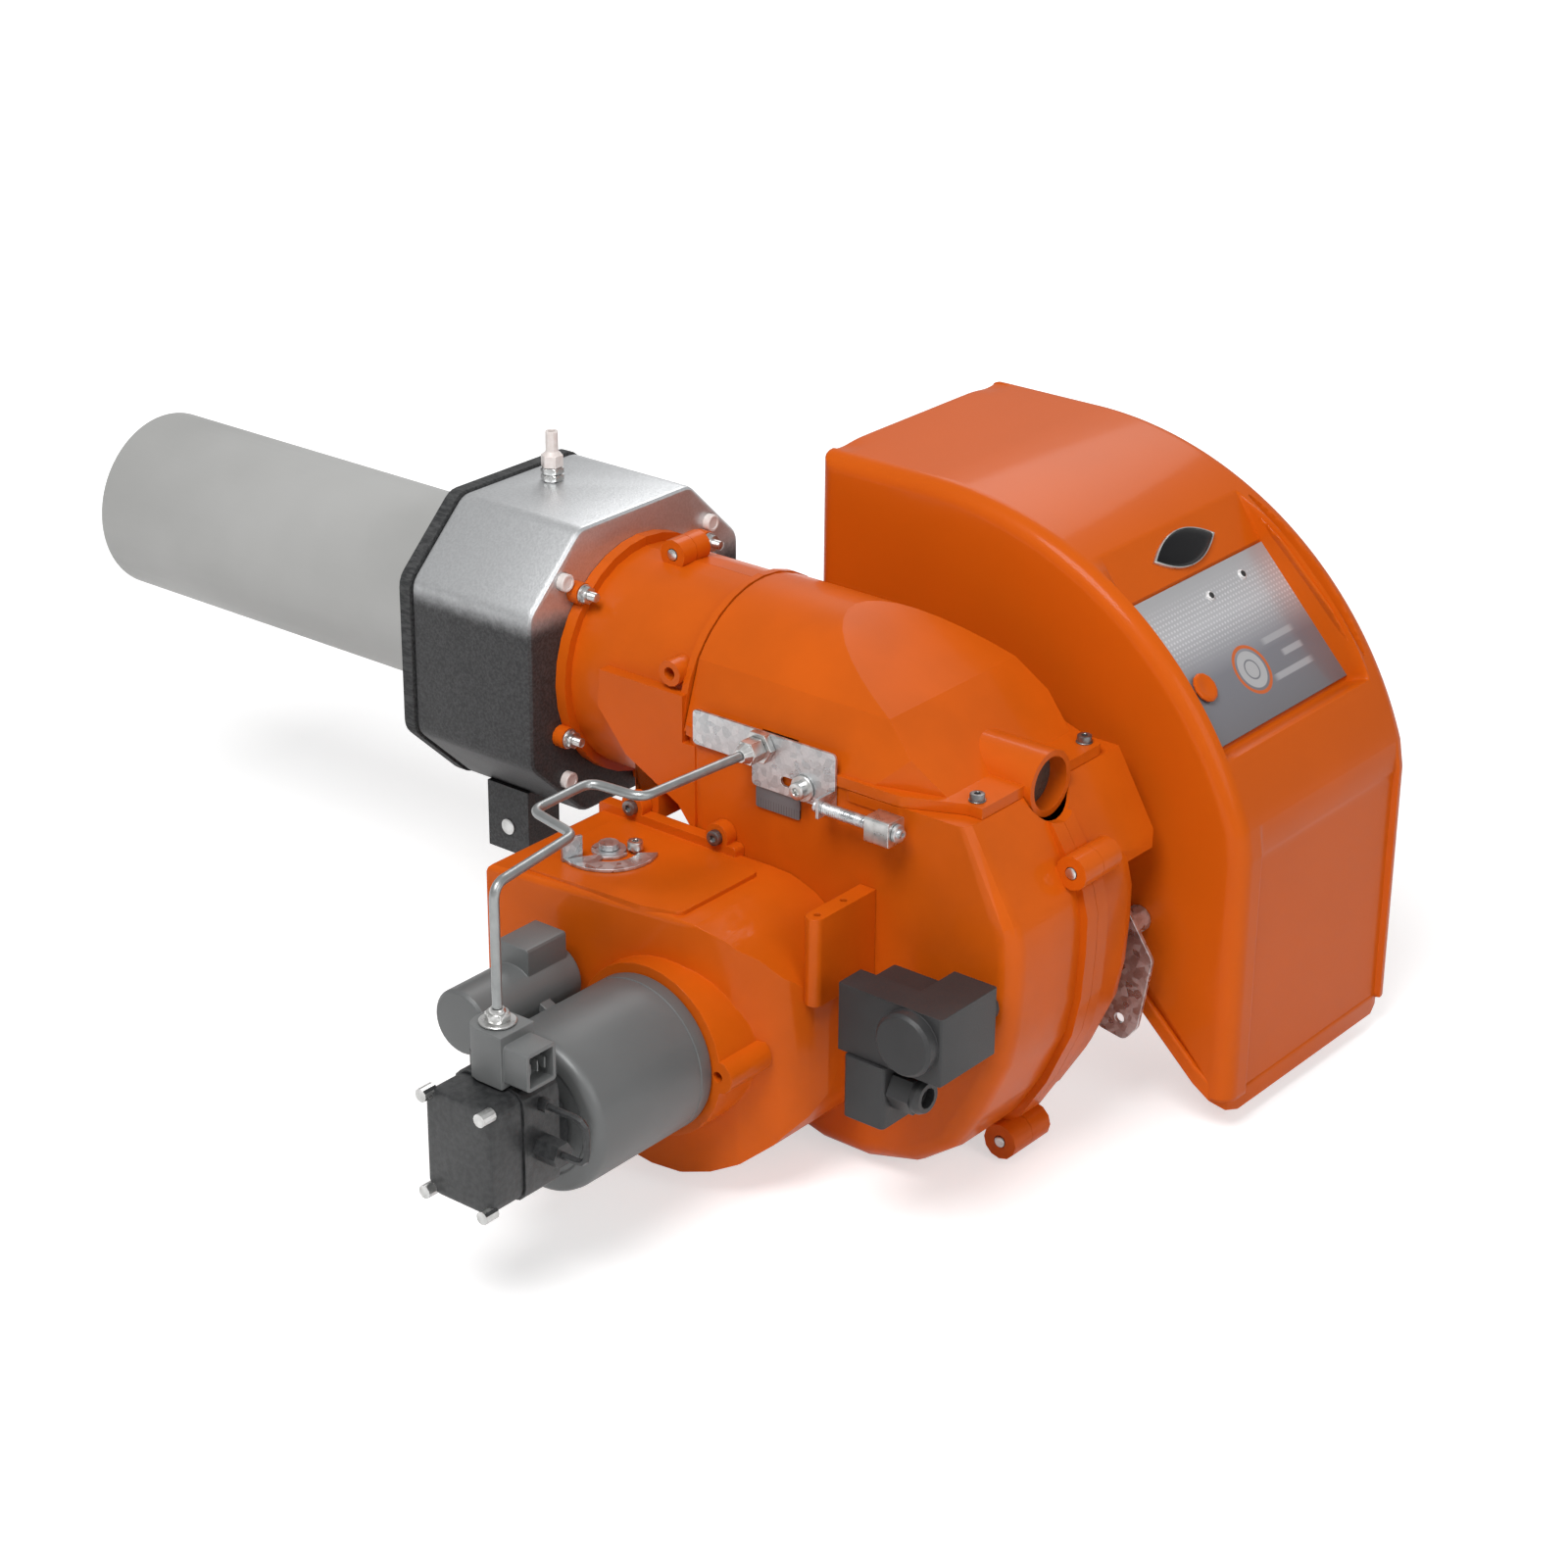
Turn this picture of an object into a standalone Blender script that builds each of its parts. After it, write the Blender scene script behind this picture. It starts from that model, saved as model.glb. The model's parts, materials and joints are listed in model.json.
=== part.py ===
"""Light-oil forced-draught burner: casing, head, air intake, motor, pump, pressure switch and hood.

Metres, +Z up. The origin is the centre of the boiler mating plane on the blast tube's axis.
+Y runs along the blast tube towards the flame, -X is the motor side, +X the hood side.
"""
from math import cos, pi, radians, sin, tan

import bmesh
import bpy
from mathutils import Matrix, Vector

# Gaps, cutters and roundness
CLEAR = 0.0003          # gap kept between touching solids
RUN_CLEAR = 0.001       # running gap round a moving piece
OVERRUN = 0.004         # how far a cutter runs past the surface it cuts
ROUND_STEPS = 32        # sides of a large round piece
SMALL_STEPS = 12        # sides of a small round piece
CORNER_STEPS = 3        # segments of a rounded corner
BEND_STEPS = 3          # segments of a pipe's bend
WELD = 0.00002          # points closer than this are one
FLAT_ANGLE = 0.001      # faces that turn less than this, in radians, are one
SHARP_ANGLE = 0.6       # edges that turn more than this, in radians, stay sharp
SIDE_SHARE = 0.48       # share of a side that a rounded corner may take
MITRE_SHARE = 0.35      # limit on how far a sharp corner moves when an outline is inset
EDGE_ANGLES = (0.0, 0.5236, 1.0472, 1.5708)   # steps of a rounded edge

# Blast tube, gasket and mounting block, stations run back from the boiler plate
TUBE_R = 0.063
TUBE_WALL = 0.002
TUBE_REACH = 0.3375
GASKET_T = 0.009
GASKET_PROUD = 0.001
BLOCK_DEPTH = 0.1032
BLOCK_HALF_W = 0.1025
BLOCK_HALF_H = 0.098
BLOCK_FLAT_X = 0.054
BLOCK_FLAT_Z = 0.052
BLOCK_CORNER_R = 0.014
BLOCK_STUD_X = 0.071
BLOCK_STUD_Z = 0.068
BLOCK_STUD_R = 0.006
BLOCK_STUD_CORE_R = 0.0035
BLOCK_STUD_GROOVE = 0.0008
BLOCK_STUD_PROUD = 0.005

# Hinge lug under the block
LUG_LEFT_X = -0.062
LUG_WIDTH = 0.030
LUG_LENGTH = 0.036
LUG_FRONT_GAP = 0.0242
LUG_DROP = 0.043
LUG_HOLE_R = 0.0055
LUG_PIN_PROUD = 0.0015

# Pressure tap on top of the block
TAP_X = 0.004
TAP_BACK = 0.0272
TAP_THREAD_R = 0.004
TAP_THREAD_DEPTH = 0.012
TAP_NUT_T = 0.0045
TAP_NUT_FLATS = 0.0135
TAP_HEX_FLATS = 0.013
TAP_HEX_H = 0.008
TAP_STEM_R = 0.0043
TAP_STEM_H = 0.0135
TAP_BORE_R = 0.0022

# Casing, split into a left and a right half on the plane x = 0
FLANGE_R = 0.080
FLANGE_T = 0.008
FLANGE_BOLT_R = 0.0846
FLANGE_BOLT_ANGLES = (44, 136, 204.4, 270, 335.6)
FLANGE_LUG_R = 0.0072
FLANGE_STUD_R = 0.003
FLANGE_STUD_PROUD = 0.0062
FLANGE_STUD_DEPTH = 0.018
FLANGE_NUT_FLATS = 0.0105
FLANGE_NUT_T = 0.004
FLANGE_WASHER_R = 0.0065
FLANGE_WASHER_T = 0.001
DUCT_R = 0.074
DUCT_LENGTH = 0.1047
CASING_WALL = 0.005
RIM_R = 0.0775
RIM_T = 0.005
SEAM_Z = -0.004
CASING_HALF_W = 0.079
CASING_EDGE_R = 0.013
CASING_LENGTH = 0.254
CASING_DROP = 0.2525
SPLIT_FLANGE_HALF = 0.011
SPLIT_FLANGE_PROUD = 0.005
# Lugs of the split flange: shares as above, and the lug's radius
SPLIT_LUGS = ((0.988, 0.160, 0.011), (0.815, 0.950, 0.012))
SPLIT_LUG_HALF = 0.019
SPLIT_SCREW_R = 0.004
TOP_LUG_BACK = 0.028
TOP_LUG_R = 0.010
TOP_LUG_HALF = 0.013
DUCT_BOSS_BACK = 0.092
DUCT_BOSS_Z = 0.032
DUCT_BOSS_R = 0.0085
DUCT_BOSS_HOLE_R = 0.0042

# Top cover
COVER_ARCH_R = 0.0765
COVER_FOOT_X = 0.0785
COVER_FLANGE_X = 0.080
COVER_WALL = 0.004
COVER_LENGTH = 0.216
COVER_CREASE_ANGLE = 33
COVER_FLANGE_T = 0.007
COVER_SCREW_X = 0.0555
COVER_SCREW_BACK = 0.207
COVER_EAR_R = 0.011
COVER_PEAK_BACK = 0.0725
COVER_BREAK_BACK = 0.148
COVER_TOE_BACK = 0.1915
COVER_TOE_X = 0.0635
COVER_FLANGE_SLANT_BACK = 0.168
SEAT_FLANGE_T = 0.007
SEAT_FLANGE_BACK = 0.126
SEAT_STEP = 0.0002        # the flange's top lies this much under the casing's
DECK_T = 0.0065           # casing's top beside and behind the cover's opening
SPOUT_X = 0.0
SPOUT_Z = -0.001
SPOUT_R = 0.0210
SPOUT_BORE_R = 0.0170
SPOUT_FRONT_BACK = 0.170
SPOUT_LENGTH = 0.051
GLASS_T = 0.003
GLASS_INSET = 0.012

# Fan and motor axis
FAN_BACK = 0.067
FAN_Z = -0.155
FAN_R = 0.070
FAN_WIDTH = 0.062
FAN_PLATE_T = 0.002
FAN_BLADE_DEPTH = 0.013
FAN_BLADE_T = 0.0012
FAN_BLADES = 20
FAN_RING_T = 0.003
FAN_HUB_R = 0.018
FAN_HUB_LENGTH = 0.026
FAN_OFFSET_X = -0.030
EYE_R = 0.052

# Air intake housing on the motor side
INTAKE_TOP_Z = -0.070
INTAKE_FRONT_AHEAD = 0.062
INTAKE_OUTER_X = -0.192
INTAKE_BOX_BACK = 0.090
INTAKE_BOX_H = 0.086
INTAKE_WALL = 0.005
INTAKE_EDGE_R = 0.005
INTAKE_SLANT_X = 0.050
INTAKE_SLANT_Y = 0.058
DRUM_R = 0.087
DRUM_OUTER_X = -0.165
DRUM_EDGE_R = 0.016
DRUM_NECK_R = 0.074
DRUM_NECK_X = -0.104
PANEL_RISE = 0.002
PANEL_MARGIN = 0.010
COLLAR_R = 0.056
COLLAR_X = -0.190
COLLAR_LUG_OFFSET = 0.0536
COLLAR_LUG_R = 0.011
COLLAR_SCREW_R = 0.0035
EAR_PITCH = 0.069
EAR_FIRST_BACK = -0.034
EAR_R = 0.009
EAR_T = 0.009
EAR_RISE = 0.006
INTAKE_SCREW_R = 0.0045
INTAKE_SCREW_HEAD_T = 0.004
PAD_BACK = 0.146
PAD_T = 0.012
PAD_REACH = 0.057
PAD_TOP_Z = -0.063
PAD_HOLE_R = 0.0022
PAD_HOLE_DEPTH = 0.010
# Places of the pad's two holes as shares of its reach from the casing
PAD_HOLE_SHARES = (0.42, 0.86)

# Air damper
DAMPER_X = -0.134
DAMPER_AHEAD = 0.013
DAMPER_SHAFT_R = 0.004
FLAP_W = 0.088
FLAP_T = 0.002
FLAP_MARGIN = 0.002
LEVER_R = 0.031
LEVER_T = 0.002
LEVER_HUB_R = 0.011
LEVER_TIP_R = 0.005
LEVER_SLOT_R = 0.0163
LEVER_SLOT_HALF = 0.0030
LEVER_SCREW_ANGLE = -55
LEVER_TRAVEL = 90
LEVER_SLOT_SPARE = 12
LEVER_LEFT_ANGLE = 160
LEVER_RIGHT_ANGLE = -62
LEVER_TAB_H = 0.015
LEVER_TAB_W = 0.014
CLAMP_SCREW_R = 0.0025
CLAMP_HEAD_R = 0.005
CLAMP_HEAD_H = 0.0055

# Motor, capacitor and oil pump
MOTOR_R = 0.0505
MOTOR_LENGTH = 0.101
SHAFT_R = 0.006
CAPACITOR_R = 0.021
CAPACITOR_LENGTH = 0.086
CAPACITOR_AHEAD = 0.071
CAPACITOR_Z = -0.125
CAPACITOR_BOX_LENGTH = 0.034
CAPACITOR_BOX_W = 0.026
CAPACITOR_BOX_H = 0.013
PUMP_NECK_R = 0.027
PUMP_NECK_LENGTH = 0.0144
PUMP_BODY_LENGTH = 0.029
PUMP_COVER_LENGTH = 0.0257
PUMP_OFFSET_Y = 0.006
PUMP_RISE = 0.008
PUMP_HALF_W = 0.027
PUMP_HALF_H = 0.036
PUMP_CHAMFER = 0.010
PUMP_COVER_INSET = 0.0015
PUMP_SCREW_R = 0.0042
PUMP_SCREW_HEAD = 0.006
PUMP_PORT_R = 0.006
PUMP_PORT_PROUD = 0.006
COIL_W = 0.028
COIL_L = 0.030
COIL_H = 0.033
COIL_X = -0.326
SOCKET_W = 0.024
SOCKET_L = 0.018
SOCKET_H = 0.024
SOCKET_DEPTH = 0.012
COIL_NUT_FLATS = 0.013
COIL_NUT_H = 0.009
COIL_DISC_R = 0.011
COIL_DISC_T = 0.0015
OUTLET_DROP = 0.012
OUTLET_HEX_FLATS = 0.014
OUTLET_LENGTH = 0.016
PIPE_R = 0.003
PIPE_SIDES = 10
PIPE_BEND_R = 0.010
BYPASS_R = 0.0022

# Burner head: plate, oil line, nozzle, disc and electrodes, all carried by the plate
LINE_BACK = 0.0660
LINE_Z = 0.008
PLATE_T = 0.002
PLATE_FRONT_BACK = 0.011
PLATE_LENGTH = 0.111
PLATE_TOP_Z = 0.017
PLATE_MID_Z = -0.006
PLATE_LOW_Z = -0.020
PLATE_STEP_BACK = 0.058
PLATE_SLOT_Z = -0.0110
PLATE_SLOT_HALF = 0.0032
TAB_REACH = 0.016
TAB_LOW_Z = -0.019
HEAD_TRAVEL = 0.014
CLAMP_WASHER_R = 0.0085
CLAMP_WASHER_T = 0.0015
PLATE_SCREW_HEAD_R = 0.0055
PLATE_SCREW_HEAD_T = 0.006
ROD_R = 0.0040
ROD_PROUD = 0.004
ROD_OUT = 0.0105
ROD_Z = -0.0135
ROD_SLOT_W = 0.0012
ROD_BLOCK_BACK = 0.1580
ROD_BLOCK_LENGTH = 0.018
ROD_BLOCK_CHAMFER = 0.0015
ROD_ARM_RISE = 0.002
ROD_BLOCK_H = 0.016
ROD_COLLAR_R = 0.0056
ROD_COLLAR_T = 0.002
STRIP_LENGTH = 0.034
STRIP_H = 0.014
STRIP_T = 0.0015
STRIP_BACK = 0.060
FITTING_FLATS = 0.014
FITTING_LENGTH = 0.016
LOCKNUT_FLATS = 0.019
LOCKNUT_T = 0.005
LINE_R = 0.005
NOZZLE_BLOCK_R = 0.011
NOZZLE_BLOCK_LENGTH = 0.030
NOZZLE_BASE_R = 0.009
NOZZLE_LENGTH = 0.018
NOZZLE_TIP_BACK = 0.030
DISC_R = 0.052
DISC_T = 0.0015
DISC_EYE_R = 0.010
DISC_SLOTS = 8
DISC_SLOT_W = 0.003
DISC_HUB_R = 0.0125
DISC_HUB_LENGTH = 0.012
ELECTRODE_SPACING = 0.017
ELECTRODE_RISE = 0.017
ELECTRODE_R = 0.0012
INSULATOR_R = 0.0045
INSULATOR_LENGTH = 0.060
ELECTRODE_REACH = 0.020

# Air pressure switch on the casing's left face
SWITCH_BACK = 0.176
SWITCH_W = 0.0755
SWITCH_DEPTH = 0.055
SWITCH_TOP_Z = -0.0905
SWITCH_H = 0.044
SWITCH_NOTCH_W = 0.044
SWITCH_NOTCH_D = 0.010
SWITCH_EDGE_R = 0.0015
SWITCH_CAP_R = 0.020
SWITCH_CAP_T = 0.009
SWITCH_CAP_BACK = 0.0535
SWITCH_SPIGOT_R = 0.009
SWITCH_SPIGOT_BACK = 0.060
PLUG_W = 0.029
PLUG_DEPTH = 0.030
PLUG_H = 0.041
PLUG_BACK = 0.007
GLAND_R = 0.0095
GLAND_LENGTH = 0.016
GLAND_Z = -0.152
GLAND_NUT_FLATS = 0.022
GLAND_NUT_T = 0.012
GLAND_BORE_R = 0.0065

# Hood and its tray on the other side of the casing
HOOD_LEFT_X = 0.096
HOOD_WIDTH = 0.204
HOOD_WALL = 0.0035
HOOD_FRONT_AHEAD = 0.034
HOOD_TOP_Z = 0.126
HOOD_ARC_R = 0.261
HOOD_ARC_AHEAD = -0.050
HOOD_ARC_END = 161
HOOD_REAR_BACK = 0.300
HOOD_EDGE_R = 0.012
HOOD_KNEE_AHEAD = -0.090
HOOD_LOW_Z = -0.040
HOOD_TRAY_ANGLE = 43
TRAY_T = 0.010
TRAY_PROUD = 0.006
TRAY_CORNER_R = 0.022
TRAY_SHEET_T = 0.003
RECESS_MARGIN = 0.0235
RECESS_TOP_BACK = 0.170
RECESS_LOW_BACK = 0.282
FACE_W = 0.156
FACE_L = 0.103
FACE_T = 0.002
FACE_TOP_BACK = 0.192
FACE_TOP_Z = 0.067
FACE_ANGLE = 47
LAMP_R = 0.0032
LAMP_PROUD = 0.002
# Lamps, button and badge: shares across the faceplate and down its slope
LAMP_SHARES = ((0.50, 0.16), (0.76, 0.13))
BUTTON_SHARES = (0.13, 0.64)
BUTTON_R = 0.010
BUTTON_PROUD = 0.0022
BUTTON_TRAVEL = 0.0015
BUTTON_STEM_R = 0.005
BUTTON_STEM_LENGTH = 0.012
BADGE_HALF_W = 0.035
BADGE_HALF_H = 0.0125
BADGE_T = 0.003
BADGE_RISE = 0.020
SCREW_HEAD_R = 0.0055
SCREW_HEAD_T = 0.005
BRACKET_T = 0.003
BRACKET_BACK = 0.205
BRACKET_W = 0.030
BRACKET_TOP_Z = -0.062
BRACKET_LOW_Z = -0.190
BRACKET_LEAN = 0.045
SPACER_R = 0.009
CONTROL_BOX = (0.062, 0.070, 0.040)
TRANSFORMER_BOX = (0.070, 0.060, 0.046)
TRAY_PART_GAP = 0.018

TUBE_LIP = 0.0006
TUBE_SEAT_MARGIN = 0.004
BLOCK_EDGE_R = 0.004
NUT_NECK_SHARE = 0.42
NUT_GROOVE = 0.0004
HALF_FLAT = 0.26
TOP_LUG_AHEAD = 0.064
DUCT_BOSS_AHEAD = 0.0126
DUCT_BOSS_X = 0.0765
PAD_INNER_SHARE = 0.70
RIGHT_X = 0.058
RIGHT_EDGE_R = 0.020
INTAKE_SCREW_DEPTH = 0.016
COVER_SCREW_R = 0.003
COVER_SCREW_DEPTH = 0.012
SPLIT_HEAD_R = 0.0052
SPLIT_HEAD_T = 0.004
ARCH_STEPS = 16
COVER_SLANT_BACK = 0.142
COVER_STEP = 0.0006
COVER_EAR_SHARE = 0.79
SLOT_INNER_SHARE = 0.60
EAR_Z = -0.0603
DRUM_STEPS = 18
INTAKE_FLANGE_LENGTH = 0.112
PAD_DEPTH = 0.058
MOUTH_LEFT_X = -0.182
MOUTH_RIGHT_X = -0.092
COLLAR_INNER_SHARE = 0.80
INTAKE_HEAD_R = 0.0075
LEVER_STEPS = 12
LEVER_HUB_TURN = -24
LEVER_TAB_TURN = 0
LEVER_SLOT_END = 6
DAMPER_HEAD_R = 0.0065
DAMPER_HEAD_T = 0.004
FAN_BLADE_POINTS = 3
FAN_BLADE_SWEEP = 0.35
SHAFT_TAIL = 0.008
MOTOR_STEP = 0.004
CAPACITOR_BEHIND = -0.004
CAPACITOR_EDGE = 0.002
CAPACITOR_BOX_START = 0.006
CLIP_HALF = 0.009
CLIP_START = 0.030
OUTLET_RISE = -0.004
BYPASS_REACH = 0.034
BYPASS_RISE = -0.012
VALVE_R = 0.0055
PUMP_SCREW_INSET = 0.0045
COIL_ROUND = 0.011
SOCKET_EDGE = 0.0025
SOCKET_PIN_PITCH = 0.006
SOCKET_PIN_T = 0.0006
SOCKET_PIN_H = 0.0035
SOCKET_PIN_INSET = 0.003
LINE_BEND_R = 0.016
NOZZLE_ORIFICE_R = 0.0006
PLATE_CORNER_R = 0.003
PLATE_CLAMP_BACK = 0.098
STRIP_TOP_Z = -0.0205
ROD_TAIL = 0.005
SWITCH_GAP = 0.0125
SWITCH_CAP_RISE = 0.0235
SWITCH_NOTCH_SHARE = 0.6
PLUG_INSET = 0.0
PLUG_PROUD = 0.003
GLAND_LIP = 0.003
HOOD_FRONT_ROUND = 0.004
HOOD_CREASE_DROP = 0.022
HOOD_STEPS = 9
RECESS_LEAD = 0.004
TRAY_RUN = 0.28
BRACKET_X = 0.0745
BRACKET_CORNER_R = 0.006
BRACKET_HOLE = (0.2306, -0.187)
BRACKET_HOLE_R = 0.0035
# Bracket outline and the two spacers: distance back from the rim, and height
BRACKET_POINTS = ((0.2306, -0.108), (0.2525, -0.140), (0.2440, -0.190), (0.2348, -0.2015), (0.2150, -0.198),
                  (0.190, -0.150), (0.196, -0.112))
BRACKET_SPACERS = ((0.205, -0.140), (0.228, -0.125))
# Side outline of the volute: shares of the length back from the rim and of the drop below the seam
VOLUTE_SHARES = (
    (-0.010, 0.0), (0.854, 0.0), (0.984, 0.222), (1.0, 0.285), (1.0, 0.372), (0.992, 0.495), (0.972, 0.598),
    (0.906, 0.749), (0.835, 0.866), (0.724, 0.947), (0.575, 0.986), (0.433, 0.986), (0.327, 0.958), (0.220, 0.938),
    (0.138, 0.905), (0.0, 0.812), (-0.079, 0.697), (-0.094, 0.558), (-0.047, 0.400), (0.016, 0.230))
BELT_SHARES = ((-0.010, 0.0), (0.854, 0.0), (0.965, 0.19), (0.965, 0.24), (0.016, 0.24))
PAD_SHARES = ((0.039, 0.262), (0.039, 0.024), (-0.0012, 0.024), (-0.0012, -0.099), (-0.268, -0.099), (-0.276, 0.0),
              (-0.185, 0.107), (-0.016, 0.194))
RIB_SHARES = ((-0.079, 0.257), (-0.079, 0.143), (-0.154, 0.107), (-0.154, 0.257))
# Intake plan: shares of the outer X and of the reach back from the front face
INTAKE_REACH = 0.212
INTAKE_PLAN_SHARES = ((1.0, 0.0), (0.927, 0.528), (0.906, 0.67), (0.849, 0.825), (0.755, 0.929), (0.615, 0.990))
PANEL_SHARES = ((0.955, 0.10), (0.925, 0.528), (0.885, 0.65), (0.50, 0.65), (0.50, 0.10))
# Radial slots of the flame disc, as shares of its radius
DISC_SLOT_SHARES = (0.42, 0.90)
# Oil pipe's corners after the valve: X, and distance back from the rim
PIPE_ROUTE = ((-0.249, 0.063), (-0.240, 0.023), (-0.189, 0.022), (-0.186, 0.060))

# Derived stations
BLOCK_FRONT_Y = -(GASKET_T + CLEAR)
BLOCK_REAR_Y = BLOCK_FRONT_Y - BLOCK_DEPTH
FLANGE_Y = BLOCK_REAR_Y - CLEAR
RIM_Y = FLANGE_Y - DUCT_LENGTH
FAN_Y = RIM_Y - FAN_BACK
SIDE_X = -CASING_HALF_W
MOTOR_X = COLLAR_X - CLEAR
MOTOR_END_X = MOTOR_X - MOTOR_LENGTH
PUMP_BODY_X = MOTOR_END_X - CLEAR - PUMP_NECK_LENGTH
PUMP_SEAM_X = PUMP_BODY_X - PUMP_BODY_LENGTH
PUMP_FRONT_X = PUMP_SEAM_X - CLEAR - PUMP_COVER_LENGTH
PUMP_Y = FAN_Y - PUMP_OFFSET_Y
PUMP_TOP_Z = FAN_Z + PUMP_RISE + PUMP_HALF_H
DAMPER_Y = RIM_Y + DAMPER_AHEAD
LINE_Y = RIM_Y - LINE_BACK
HOOD_FRONT_Y = RIM_Y + HOOD_FRONT_AHEAD
HOOD_REAR_Y = RIM_Y - HOOD_REAR_BACK
PLATE_X = -(COVER_FLANGE_X + CLEAR + PLATE_T)
ROD_X = PLATE_X - ROD_OUT

MATERIALS = {
    "steel": ((0.56, 0.56, 0.55), 0.32, 1.0),
    "cast_aluminium": ((0.50, 0.51, 0.51), 0.48, 0.9),
    "aluminium": ((0.66, 0.67, 0.67), 0.38, 0.9),
    "brass": ((0.62, 0.45, 0.20), 0.3, 1.0),
    "orange": ((0.75, 0.10, 0.01), 0.3, 0.0),
    "grey_paint": ((0.14, 0.14, 0.14), 0.42, 0.1),
    "dark_plastic": ((0.035, 0.036, 0.037), 0.5, 0.0),
    "pump_grey": ((0.05, 0.052, 0.053), 0.45, 0.2),
    "coil_grey": ((0.15, 0.16, 0.16), 0.5, 0.0),
    "gasket": ((0.06, 0.06, 0.06), 0.9, 0.0),
    "glass": ((0.12, 0.14, 0.13), 0.08, 0.0),
    "ceramic": ((0.85, 0.83, 0.78), 0.3, 0.0),
    "light_grey": ((0.45, 0.46, 0.47), 0.4, 0.0)}

AXIS_DIRECTIONS = {"X": Vector((1, 0, 0)), "Y": Vector((0, 1, 0)), "Z": Vector((0, 0, 1))}


def at(axis, u, v, w):
    """Point at station w on the axis, with u and v across it: y z on X, x z on Y, x y on Z."""
    return {"X": Vector((w, u, v)), "Y": Vector((u, w, v)), "Z": Vector((u, v, w))}[axis]


def add_loft(mesh, rings, closed=False):
    """Join rings of equal counts with quads, with flat caps unless the loft closes on itself."""
    verts = [[mesh.verts.new(point) for point in ring] for ring in rings]
    pairs = list(zip(verts, verts[1:] + verts[:1])) if closed else list(zip(verts, verts[1:]))
    for first, second in pairs:
        for i in range(len(first)):
            j = (i + 1) % len(first)
            mesh.faces.new((first[i], first[j], second[j], second[i]))
    if not closed:
        mesh.faces.new(verts[0])
        mesh.faces.new(verts[-1])


def solid(name, *lofts):
    """Object made of closed lofts; each loft is its rings, or its rings and True when it closes."""
    mesh = bmesh.new()
    for loft in lofts:
        rings, closed = loft if isinstance(loft, tuple) else (loft, False)
        add_loft(mesh, rings, closed)
    bmesh.ops.recalc_face_normals(mesh, faces=mesh.faces)
    data = bpy.data.meshes.new(name)
    mesh.to_mesh(data)
    mesh.free()
    made = bpy.data.objects.new(name, data)
    bpy.context.scene.collection.objects.link(made)
    return made


def bake(target):
    """Replace the object's mesh with its evaluated one and drop its modifiers."""
    bpy.context.view_layer.update()
    graph = bpy.context.evaluated_depsgraph_get()
    baked = bpy.data.meshes.new_from_object(target.evaluated_get(graph))
    target.modifiers.clear()
    target.data = baked


def combine(target, tools, operation):
    for tool in tools:
        step = target.modifiers.new("step", "BOOLEAN")
        step.operation = operation
        step.solver = "EXACT"
        step.object = tool
        step.use_self = len(tools) == 1 and tool.get("overlaps", 0) == 1
        bake(target)
    for tool in tools:
        bpy.data.objects.remove(tool)
    return target


def carve(target, *tools):
    return combine(target, tools, "DIFFERENCE")


def fuse(target, *tools):
    return combine(target, tools, "UNION")


def common(target, *tools):
    return combine(target, tools, "INTERSECT")


def copied(source):
    twin = source.copy()
    twin.data = source.data.copy()
    bpy.context.scene.collection.objects.link(twin)
    return twin


def finish(made, name, material, origin=(0, 0, 0), parent=None):
    """Name the piece, give it its own material, and put its origin at a point."""
    bpy.context.view_layer.update()
    shift = made.matrix_world.inverted() @ Vector(origin)
    made.data.transform(Matrix.Translation(-shift))
    made.location = Vector(origin) - (parent.location if parent else Vector())
    made.parent = parent
    made.name = name
    made.data.name = name
    color, roughness, metallic = MATERIALS[material]
    look = bpy.data.materials.new(name)
    look.use_nodes = True
    shader = look.node_tree.nodes["Principled BSDF"]
    shader.inputs["Base Color"].default_value = (*color, 1)
    shader.inputs["Roughness"].default_value = roughness
    shader.inputs["Metallic"].default_value = metallic
    look.diffuse_color = (*color, 1)
    made.data.materials.clear()
    made.data.materials.append(look)
    mesh = bmesh.new()
    mesh.from_mesh(made.data)
    bmesh.ops.remove_doubles(mesh, verts=mesh.verts, dist=WELD)
    bmesh.ops.delete(mesh, geom=[edge for edge in mesh.edges if not edge.link_faces], context="EDGES")
    bmesh.ops.delete(mesh, geom=[vert for vert in mesh.verts if not vert.link_faces], context="VERTS")
    bmesh.ops.dissolve_degenerate(mesh, edges=mesh.edges, dist=WELD)
    flat = [edge for edge in mesh.edges if len(edge.link_faces) == 2 and edge.calc_face_angle(pi) < FLAT_ANGLE]
    bmesh.ops.dissolve_limit(mesh, angle_limit=FLAT_ANGLE, verts=mesh.verts, edges=flat)
    bmesh.ops.triangulate(mesh, faces=mesh.faces)
    bmesh.ops.recalc_face_normals(mesh, faces=mesh.faces)
    mesh.to_mesh(made.data)
    mesh.free()
    made.data.shade_smooth()
    made.data.set_sharp_from_angle(angle=SHARP_ANGLE)
    return made


def circle(radius, steps, centre=(0, 0), start=0.0):
    return [(centre[0] + radius * cos(start + 2 * pi * i / steps),
             centre[1] + radius * sin(start + 2 * pi * i / steps)) for i in range(steps)]


def hexagon(flats, centre=(0, 0), start=0.0):
    return circle(flats / 3 ** 0.5, 6, centre, start)


def box_outline(u0, u1, v0, v1):
    return [(u0, v0), (u1, v0), (u1, v1), (u0, v1)]


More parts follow.
